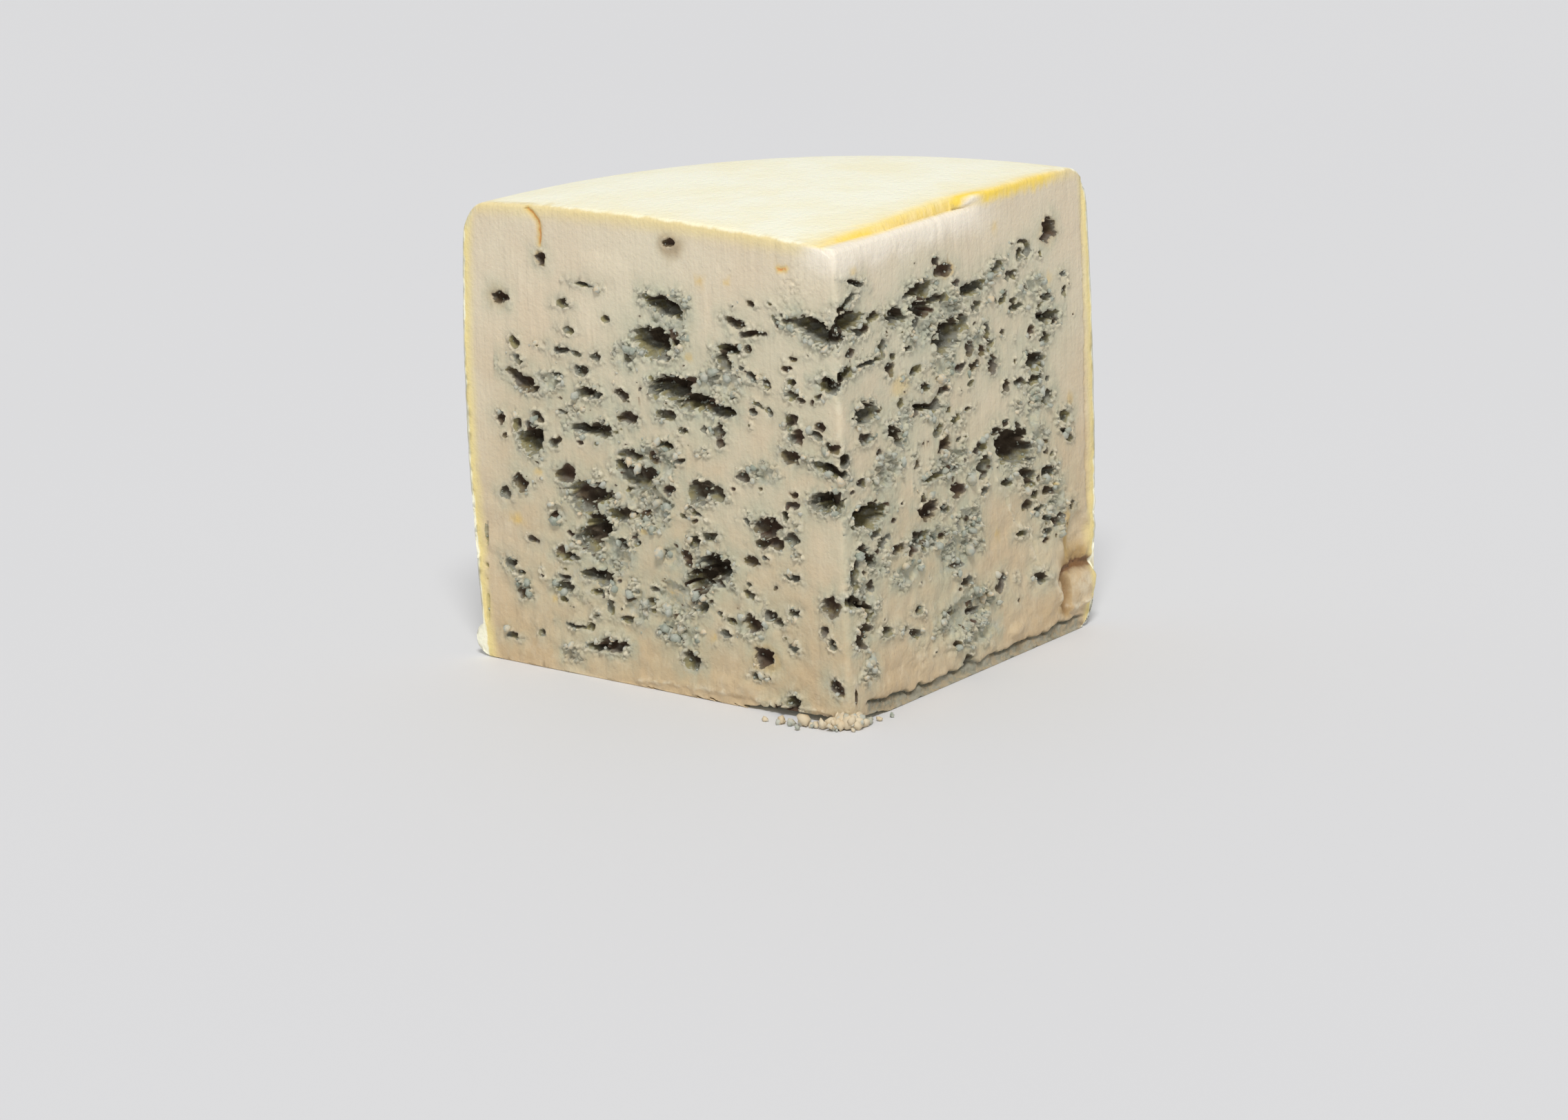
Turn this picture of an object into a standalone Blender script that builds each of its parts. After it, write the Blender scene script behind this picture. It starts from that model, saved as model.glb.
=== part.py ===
"""A wedge of blue cheese, cut from a low wheel and standing on its base.

The wheel is turned, two straight cuts leave the wedge, and the openings of the mould veins
are scooped out of both cut faces. The tip points to -Y, and the rind is at the back.
Lengths are in metres, and the lists of openings are in millimetres.
"""

import math

import bmesh
import bpy
from mathutils import Matrix, Vector, noise

MM = 0.001

# The wheel, a little higher than the dome that shapes its top
WHEEL_HEIGHT = 0.1025
WHEEL_RADIUS = 0.1287
BARREL_BULGE = 0.0025
TOP_EDGE_INWARD = 0.0065
TOP_EDGE_DROP = 0.0095
FOOT_ROUND = 0.0055
WHEEL_STEPS = 120
EDGE_POINTS = 7
SIDE_POINTS = 6

# The two cuts: the tip stands this far from the wheel's axis
TIP_FROM_AXIS = Vector((0.0082, 0.0377, 0.0))
HALF_ANGLE = math.radians(42.5)
TIP_BLUNT = 0.0007
DOME_HEIGHT = 0.102
DOME_APEX = Vector((0.005, 0.075, 0.0))
DOME_RADIUS = 0.82
DOME_REACH = 0.088
DOME_CELLS = 18
CUT_REACH = 0.150
CUT_OVERSHOOT = 0.010

# The swell of rind at the foot of the left corner: where it lies from the wheel's axis, its
# half sizes along the rind, across it and upwards, and its gap to the ground
TOE_BEARING = math.radians(-28.0)
TOE_FROM_AXIS = 0.1249
TOE_SIZE = Vector((0.0085, 0.0042, 0.0037))
TOE_GAP = 0.0002

# The steps of the right cut: the rind's edge along its top, and the strip along its foot.
# Each has its lower and upper level, and pairs of a distance along the cut and a depth into it.
TOP_STEP = (0.0984, 0.110, (-0.005, 0.0046), (0.020, 0.0024), (0.050, 0.0018), (0.056, -0.0002))
FOOT_STEP = (-0.005, 0.0027, (0.006, 0.0010), (0.088, 0.0010))
STEP_OVERSHOOT = 0.004

# The broken underside of the tip, with its middle a little way along the left cut
TIP_LIFT = 0.0015
TIP_LIFT_REACH = 0.017
TIP_LIFT_ALONG = 0.006

# Scoops: depth for each root of opening area, most depth, how ragged the walls are,
# how far their middles lie under the cut, and the area in square millimetres of a large one
DEPTH_SHARE = 0.62
MOST_DEPTH = 0.0052
RAGGED = 0.26
RAGGED_SCALE = 1.5
SINK = 0.25
LARGE_OPENING = 14.0

# Openings of each cut: distance from the tip, height, width, opening height, and rise in degrees
LEFT_OPENINGS = (
    (68.5, 39.5, 10, 4.8, 0), (66.4, 33.2, 6.2, 4.6, 0), (69.8, 29, 6.5, 4.6, 0),
    (59.6, 36.4, 6, 3, 0), (75.2, 43, 4, 2.8, 0), (34, 28.8, 8, 4.8, 0),
    (39, 25.3, 5.6, 4.4, 0), (38.6, 20.4, 3, 3.8, 0), (36, 35.2, 3.6, 2.2, 0),
    (44.5, 65.3, 9, 4.6, 0), (38.3, 62.8, 7, 3.4, -15), (31.6, 62, 6, 2.8, 0),
    (45.8, 82, 9, 3.8, 14), (49.8, 74.2, 6.5, 6, 0), (43.6, 75, 5, 4.4, 0),
    (85.8, 61.8, 8, 3, 20), (78.5, 62.7, 5, 3, 0), (83.7, 48.9, 5.5, 5.5, 0),
    (81.6, 54.5, 3.4, 2.2, 0), (54.5, 45, 7.5, 4.8, 0), (59.2, 47.8, 4, 3.2, 0),
    (68, 53.6, 8, 2.8, 0), (5, 81.3, 12, 4.8, 12), (3.7, 46.3, 8, 3.8, -12),
    (3, 53.2, 8, 2.2, 15), (2.3, 70.6, 6, 2.8, -5), (3.7, 24.9, 3.8, 3.2, 0),
    (69.6, 22.2, 5, 2.8, 0), (65.3, 20.7, 5, 4, 0), (68.3, 6.6, 5, 2, 0),
    (63.7, 7.7, 6.5, 2.8, 0), (45.5, 12.3, 7, 5, 0), (22.3, 11.1, 5, 4, 30),
    (38.4, 44, 5, 4.4, 0), (33.5, 44, 4.2, 3, 0), (20, 38.4, 6.5, 5.5, 0),
    (15, 3.6, 3, 3.4, 0), (57, 57.1, 4.6, 3.2, 0), (66.3, 61, 6, 3, 0),
    (25, 18, 4, 3, 0), (13.2, 54.7, 4.4, 2.6, 0), (87.8, 39.4, 3.2, 3.4, 0),
    (75.7, 25.6, 4.6, 2.2, 0), (92.3, 21.4, 3.4, 2.6, 25), (56.4, 17.7, 3.8, 6, 0),
)
RIGHT_OPENINGS = (
    (20.5, 81.1, 6.5, 3.4, -10), (29.3, 84.7, 7, 4, 0), (29.3, 80.8, 7.8, 3.8, -10),
    (34.1, 81.8, 5, 2.2, 0), (30.2, 76.1, 7.4, 3.6, 0), (39.3, 73.4, 9.2, 6, 0),
    (44.7, 75.4, 3, 4, 0), (48.4, 81.2, 8, 2.8, 0), (15.6, 75.6, 3, 4, 0),
    (27.3, 68.7, 4.8, 2.2, 8), (30.2, 64.3, 3.8, 2.2, -25), (9.3, 63.2, 6.6, 4, 0),
    (22.4, 59.4, 3.8, 3.8, 0), (19.4, 56.8, 5.6, 3, -45), (30.2, 60.3, 9.5, 2, -12),
    (37, 50.7, 3.8, 3.2, 0), (9.6, 42.1, 12, 5, 0), (13.9, 35.5, 4.6, 2.2, 10),
    (9, 33.7, 6.4, 3, -30), (3.9, 29, 3, 7, 0), (3.4, 25.5, 6.6, 2.6, -15),
    (7.3, 23.6, 5, 2.6, -25), (6.1, 19.1, 4.6, 3, 0), (14.4, 16.9, 4, 2.2, 0),
    (26.1, 18.6, 3, 2, 0), (24.9, 13.6, 3.8, 2.4, -20), (7.7, 9.6, 4, 3.4, 0),
    (30.2, 39, 6.4, 4, -5), (32.9, 45.3, 8, 2, 3), (41.1, 40.4, 4.2, 3, -25),
    (25.7, 33.3, 4.2, 4, 0), (31.2, 32.5, 6, 3, 0), (40.5, 27.6, 8.4, 6, 0),
    (44, 3.6, 3.2, 2.4, 0), (57.7, 84.1, 5.8, 2.6, 12), (77.1, 88, 4.6, 4.8, 25),
    (68.9, 85.2, 2.8, 3.8, 0), (60.2, 77.1, 3, 3, 0), (70.2, 77.8, 5.4, 2.8, 0),
    (64.6, 74.7, 5.4, 2.6, -5), (77, 70.1, 6.2, 3, 0), (53.8, 70.4, 3, 6.8, 0),
    (54.4, 64.2, 3.6, 3.4, 0), (75.7, 65, 3, 4, 0), (70.5, 61.6, 6, 4.2, -15),
    (64.8, 58.5, 3.8, 2, -15), (70.8, 57.5, 4.8, 2.6, 0), (75.3, 53, 4.6, 2.8, 0),
    (61.7, 45.2, 14, 7.4, -25), (50.7, 43.3, 6.6, 4.6, 0), (67.6, 37.7, 6.4, 3, -20),
    (74.7, 36.6, 5, 3, 0), (72.2, 45.3, 4.8, 3.2, 0), (82.1, 47.5, 4.2, 3, 0),
    (82.6, 43.3, 3.6, 2.4, -25), (71.7, 29.7, 4, 2, 0), (77, 26, 7.2, 4.4, 0),
    (64.6, 25.8, 3.6, 2, 0), (71.5, 14.8, 4.2, 2.4, -20), (46.8, 13.3, 7, 3, 0),
    (84.5, 13.5, 10, 15, -30),
)


def clear_scene():
    for obj in list(bpy.data.objects):
        bpy.data.objects.remove(obj)


def new_collection(name):
    collection = bpy.data.collections.new(name)
    bpy.context.scene.collection.children.link(collection)
    return collection


def new_material(name, color, roughness, metallic=0.0):
    material = bpy.data.materials.new(name)
    material.use_nodes = True
    shader = material.node_tree.nodes["Principled BSDF"]
    shader.inputs["Base Color"].default_value = (*color, 1.0)
    shader.inputs["Roughness"].default_value = roughness
    shader.inputs["Metallic"].default_value = metallic
    return material


def object_from_bmesh(bm, name, collection, parent):
    mesh = bpy.data.meshes.new(name)
    bm.to_mesh(mesh)
    bm.free()
    obj = bpy.data.objects.new(name, mesh)
    obj.parent = parent
    collection.objects.link(obj)
    return obj


def as_cutter(obj):
    obj.hide_render = True
    obj.display_type = "WIRE"
    return obj


def cut_frame(side):
    """Axes of one cut: x along it from the tip, y up, z out of the cheese."""
    along = Vector((side * math.sin(HALF_ANGLE), math.cos(HALF_ANGLE), 0.0))
    outward = Vector((side * math.cos(HALF_ANGLE), -math.sin(HALF_ANGLE), 0.0))
    up = Vector((0.0, 0.0, 1.0))
    return Matrix((along, up, outward)).transposed()


def wheel_radius(height):
    """Radius of the barrel: full at half height, less by the bulge at the top and the foot."""
    off_middle = 2.0 * height / WHEEL_HEIGHT - 1.0
    return WHEEL_RADIUS - BARREL_BULGE * off_middle**2


def wheel_profile():
    """The half section from the middle of the top, round the edge and down the side, to the middle of the base."""
    top_corner = wheel_radius(WHEEL_HEIGHT - TOP_EDGE_DROP) - TOP_EDGE_INWARD
    foot_corner = wheel_radius(FOOT_ROUND) - FOOT_ROUND
    points = [(0.0, WHEEL_HEIGHT)]
    for i in range(EDGE_POINTS):
        angle = 0.5 * math.pi * i / (EDGE_POINTS - 1)
        points.append(
            (
                top_corner + TOP_EDGE_INWARD * math.sin(angle),
                WHEEL_HEIGHT - TOP_EDGE_DROP * (1.0 - math.cos(angle)),
            )
        )
    for i in range(1, SIDE_POINTS):
        share = i / SIDE_POINTS
        height = (1.0 - share) * (WHEEL_HEIGHT - TOP_EDGE_DROP) + share * FOOT_ROUND
        points.append((wheel_radius(height), height))
    for i in range(EDGE_POINTS):
        angle = 0.5 * math.pi * i / (EDGE_POINTS - 1)
        points.append(
            (
                foot_corner + FOOT_ROUND * math.cos(angle),
                FOOT_ROUND * (1.0 - math.sin(angle)),
            )
        )
    points.append((0.0, 0.0))
    return points


def make_wheel(collection, parent):
    """The whole wheel, turned about its axis."""
    bm = bmesh.new()
    verts = [bm.verts.new((radius, 0.0, height)) for radius, height in wheel_profile()]
    for upper, lower in zip(verts, verts[1:]):
        bm.edges.new((upper, lower))
    wheel = object_from_bmesh(bm, "blue_cheese", collection, parent)
    wheel.location = -TIP_FROM_AXIS
    screw = wheel.modifiers.new("turned", "SCREW")
    screw.steps = WHEEL_STEPS
    screw.render_steps = WHEEL_STEPS
    screw.use_merge_vertices = True
    screw.merge_threshold = 0.0001
    screw.use_smooth_shade = True
    return wheel


def make_cuts(collection, parent):
    """A prism that holds the wedge: two straight cuts that meet in a blunt edge at the tip."""
    bm = bmesh.new()
    low, high = -CUT_OVERSHOOT, WHEEL_HEIGHT + CUT_OVERSHOOT
    corners = [Vector((0.0, 0.0, low))]
    for side in (1, -1):
        corners.append(cut_frame(side).col[0] * CUT_REACH + Vector((0.0, 0.0, low)))
    base = bm.faces.new([bm.verts.new(corner) for corner in corners])
    raised = bmesh.ops.extrude_face_region(bm, geom=[base])
    tops = [item for item in raised["geom"] if isinstance(item, bmesh.types.BMVert)]
    bmesh.ops.translate(bm, verts=tops, vec=(0.0, 0.0, high - low))
    edge_at_tip = [e for e in bm.edges if all(v.co.xy.length < TIP_BLUNT for v in e.verts)]
    bmesh.ops.bevel(bm, geom=edge_at_tip, offset=TIP_BLUNT, segments=2, affect="EDGES", profile=0.5)
    bmesh.ops.recalc_face_normals(bm, faces=bm.faces)
    return as_cutter(object_from_bmesh(bm, "cuts", collection, parent))


def make_toe(collection, parent):
    """The swell of rind at the foot of the left corner, a stretched ball that the cut halves."""
    bm = bmesh.new()
    bmesh.ops.create_icosphere(bm, subdivisions=3, radius=1.0)
    bmesh.ops.scale(bm, verts=bm.verts, vec=TOE_SIZE)
    place = Matrix.Translation(Vector((0.0, TOE_FROM_AXIS, TOE_SIZE.z + TOE_GAP)))
    turn = Matrix.Rotation(-TOE_BEARING, 4, "Z")
    bmesh.ops.transform(bm, verts=bm.verts, matrix=turn @ place)
    bmesh.ops.translate(bm, verts=bm.verts, vec=-TIP_FROM_AXIS)
    return as_cutter(object_from_bmesh(bm, "toe", collection, parent))


def add_scoop(bm, side, opening, seed):
    """A ragged ball pressed into the cut: its section at the cut is the opening."""
    along, up, width, height, rise = opening
    depth = min(DEPTH_SHARE * math.sqrt(width * height) * MM, MOST_DEPTH)
    fineness = 2 if width * height > LARGE_OPENING else 1
    made = bmesh.ops.create_icosphere(bm, subdivisions=fineness, radius=1.0)["verts"]
    shift = Vector((seed * 3.1, seed * 1.7, side * 5.3))
    for vert in made:
        vert.co *= 1.0 + RAGGED * noise.noise(vert.co * RAGGED_SCALE + shift)
    size = Matrix.Diagonal((0.5 * width * MM, 0.5 * height * MM, depth, 1.0))
    turn = Matrix.Rotation(math.radians(rise), 4, "Z")
    place = Matrix.Translation(Vector((along * MM, up * MM, -SINK * depth)))
    matrix = cut_frame(side).to_4x4() @ place @ turn @ size
    bmesh.ops.transform(bm, verts=made, matrix=matrix)


def make_scoops(side, openings, name, collection, parent):
    """One object for each opening, so that openings that run together still cut cleanly."""
    for seed, opening in enumerate(openings):
        bm = bmesh.new()
        add_scoop(bm, side, opening, seed)
        bmesh.ops.recalc_face_normals(bm, faces=bm.faces)
        as_cutter(object_from_bmesh(bm, f"{name}_{seed:02d}", collection, parent))


def make_dome(collection, parent):
    """The air over the top: its lower side is a shallow dome, z = height - r^2 / (2 radius)."""
    bm = bmesh.new()
    bmesh.ops.create_grid(bm, x_segments=DOME_CELLS, y_segments=DOME_CELLS, size=DOME_REACH)
    raised = bmesh.ops.extrude_face_region(bm, geom=list(bm.faces))
    tops = {item for item in raised["geom"] if isinstance(item, bmesh.types.BMVert)}
    for vert in bm.verts:
        sunk = DOME_HEIGHT - vert.co.xy.length_squared / (2.0 * DOME_RADIUS)
        vert.co.z = WHEEL_HEIGHT + CUT_OVERSHOOT if vert in tops else sunk
    bmesh.ops.translate(bm, verts=bm.verts, vec=DOME_APEX)
    bmesh.ops.triangulate(bm, faces=bm.faces)
    bmesh.ops.recalc_face_normals(bm, faces=bm.faces)
    return as_cutter(object_from_bmesh(bm, "dome", collection, parent))


def make_step(name, step, collection, parent):
    """A long bar that cuts an edge of the right cut back, as deep as its pairs say."""
    low, high, *pairs = step
    bm = bmesh.new()
    outline = [(pairs[-1][0], STEP_OVERSHOOT), (pairs[0][0], STEP_OVERSHOOT)]
    outline += [(along, -depth) for along, depth in pairs]
    base = bm.faces.new([bm.verts.new((along, low, out)) for along, out in outline])
    raised = bmesh.ops.extrude_face_region(bm, geom=[base])
    tops = [item for item in raised["geom"] if isinstance(item, bmesh.types.BMVert)]
    bmesh.ops.translate(bm, verts=tops, vec=(0.0, high - low, 0.0))
    bmesh.ops.transform(bm, verts=bm.verts, matrix=cut_frame(1).to_4x4())
    bmesh.ops.recalc_face_normals(bm, faces=bm.faces)
    return as_cutter(object_from_bmesh(bm, name, collection, parent))


def make_tip_lift(collection, parent):
    """A flat ball that breaks away the underside of the tip."""
    bm = bmesh.new()
    bmesh.ops.create_icosphere(bm, subdivisions=3, radius=1.0)
    bmesh.ops.scale(bm, verts=bm.verts, vec=(TIP_LIFT_REACH, TIP_LIFT_REACH, TIP_LIFT))
    bmesh.ops.translate(bm, verts=bm.verts, vec=cut_frame(-1).col[0] * TIP_LIFT_ALONG)
    return as_cutter(object_from_bmesh(bm, "tip_lift", collection, parent))


def add_boolean(obj, name, operation, other):
    boolean = obj.modifiers.new(name, "BOOLEAN")
    boolean.operation = operation
    boolean.solver = "EXACT"
    if isinstance(other, bpy.types.Collection):
        boolean.operand_type = "COLLECTION"
        boolean.collection = other
    else:
        boolean.object = other
    return boolean


def stand_at_origin(root, cheese):
    """Moves the wedge so that the middle of its box stands over the origin, on its base."""
    bpy.context.view_layer.update()
    evaluated = cheese.evaluated_get(bpy.context.evaluated_depsgraph_get())
    points = [evaluated.matrix_world @ vert.co for vert in evaluated.data.vertices]
    low = Vector([min(point[axis] for point in points) for axis in range(3)])
    high = Vector([max(point[axis] for point in points) for axis in range(3)])
    root.location = (-0.5 * (low.x + high.x), -0.5 * (low.y + high.y), -low.z)
    bpy.context.view_layer.update()


def main():
    clear_scene()
    parts = new_collection("blue_cheese")
    shapers = new_collection("shapers")
    scoops = new_collection("scoops")
    root = bpy.data.objects.new("cheese_root", None)
    parts.objects.link(root)

    cheese = make_wheel(parts, root)
    cheese.data.materials.append(new_material("blue_cheese", (0.66, 0.60, 0.46), 0.55))
    add_boolean(cheese, "toe of rind", "UNION", make_toe(shapers, root))
    add_boolean(cheese, "two cuts", "INTERSECT", make_cuts(shapers, root))

    make_scoops(-1, LEFT_OPENINGS, "left_opening", scoops, root)
    make_scoops(1, RIGHT_OPENINGS, "right_opening", scoops, root)
    make_dome(scoops, root)
    make_step("top_step", TOP_STEP, scoops, root)
    make_step("foot_step", FOOT_STEP, scoops, root)
    make_tip_lift(scoops, root)
    add_boolean(cheese, "veins", "DIFFERENCE", scoops)
    stand_at_origin(root, cheese)


main()
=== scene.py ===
"""The finished look of a wedge of blue cheese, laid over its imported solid."""

import math

import bpy
import numpy as np
from bpy.props import FloatProperty, FloatVectorProperty, IntProperty, PointerProperty
from mathutils import Matrix, Vector


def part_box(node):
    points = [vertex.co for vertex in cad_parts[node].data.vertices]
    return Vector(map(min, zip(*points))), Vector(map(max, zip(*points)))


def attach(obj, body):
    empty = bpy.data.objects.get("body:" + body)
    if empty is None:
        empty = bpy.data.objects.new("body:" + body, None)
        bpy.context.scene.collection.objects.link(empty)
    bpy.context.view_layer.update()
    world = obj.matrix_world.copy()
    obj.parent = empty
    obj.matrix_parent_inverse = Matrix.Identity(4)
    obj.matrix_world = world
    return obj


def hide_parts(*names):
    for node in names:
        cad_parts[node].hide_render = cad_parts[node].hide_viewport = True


bl_info = {
    "name": "Blue cheese wedge",
    "version": (1, 0, 0),
    "blender": (4, 5, 0),
    "location": "3D View > Sidebar > Cheese",
    "description": "Builds the paste, rind, mould and crumbs of a wedge of blue cheese",
    "category": "Object",
}

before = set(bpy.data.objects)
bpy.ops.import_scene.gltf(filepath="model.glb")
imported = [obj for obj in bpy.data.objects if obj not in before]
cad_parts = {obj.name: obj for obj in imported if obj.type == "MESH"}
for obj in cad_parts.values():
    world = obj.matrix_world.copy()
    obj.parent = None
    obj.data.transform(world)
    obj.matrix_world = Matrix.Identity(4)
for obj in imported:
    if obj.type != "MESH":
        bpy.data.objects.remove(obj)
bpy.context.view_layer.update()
LOW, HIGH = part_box("blue_cheese")
MM = 0.001

# The wedge, in millimetres, from the sharp tip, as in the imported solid. The sharp tip lies a
# little in front of the rounded one.
TIP_FROM_RIGHT, TIP_AHEAD = 63.4, 0.35
TIP = np.array([HIGH.x / MM - TIP_FROM_RIGHT, LOW.y / MM - TIP_AHEAD])
HALF_ANGLE = math.radians(42.5)
SIN, COS = math.sin(HALF_ANGLE), math.cos(HALF_ANGLE)
ALONG = {-1: np.array([-SIN, COS]), 1: np.array([SIN, COS])}
OUTWARD = {-1: np.array([-COS, -SIN]), 1: np.array([COS, -SIN])}
WHEEL_AXIS = np.array([-8.2, -37.7])
WHEEL_RADIUS = 128.7
WHEEL_HEIGHT = 102.5
BULGE = 2.5
DOME_HEIGHT = 102.0
DOME_APEX = np.array([5.0, 75.0])
DOME_RADIUS = 820.0
RIM_TOP_INWARD, RIM_TOP_DROP = 6.2, 8.6
RIM_FOOT_ROUND = 5.5
CUT_TOP_ROUND, CUT_FOOT_ROUND = 1.1, 0.5
TIP_ROUND = 1.3
CENTRE = np.array([1.0, 58.0])
TOE_MIDDLE, TOE_ACROSS, TOE_ALONG, TOE_UP = 124.9, 4.2, 8.5, 3.7
LIFT, LIFT_ALONG, LIFT_REACH = 1.4, 7.0, (22.0, 15.0)
# The rind stands back from the right cut along its top: distances from the tip and depths there,
# height of the shelf of paste below, and the shares of the rounded edge at which the shelf bends
LEDGE_PLACES, LEDGE_DEPTHS = (0, 5, 20, 48, 56, 200), (4.4, 3.6, 2.3, 1.7, 0.0, 0.0)
SHELF_HEIGHT, SHELF_DEPTH = 98.3, 2.2
SHELF_BENDS = (0.0, 0.36, 0.48, 0.58, 0.68, 0.8, 1.0)
# Lengths that set how many points lie along the cuts, the rim and up the walls
LEFT_SPAN, RIGHT_SPAN, RIM_SPAN = 99, 93, 60
FOOT_SPAN, WALL_SPAN, TOP_SPAN, CAP_SPAN = 5.5, 85, 9, 9
# Radius in the material of the round corner of the rind, between the top and the rim
SKIN_ROUND = 6.5
# Corners of the ball that a crumb is made from, and how high crumbs stay over the ground
LUMP_CORNERS = 12
GROUND_GAP, FOOT_GAP = 0.05 * MM, 0.02 * MM

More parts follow.
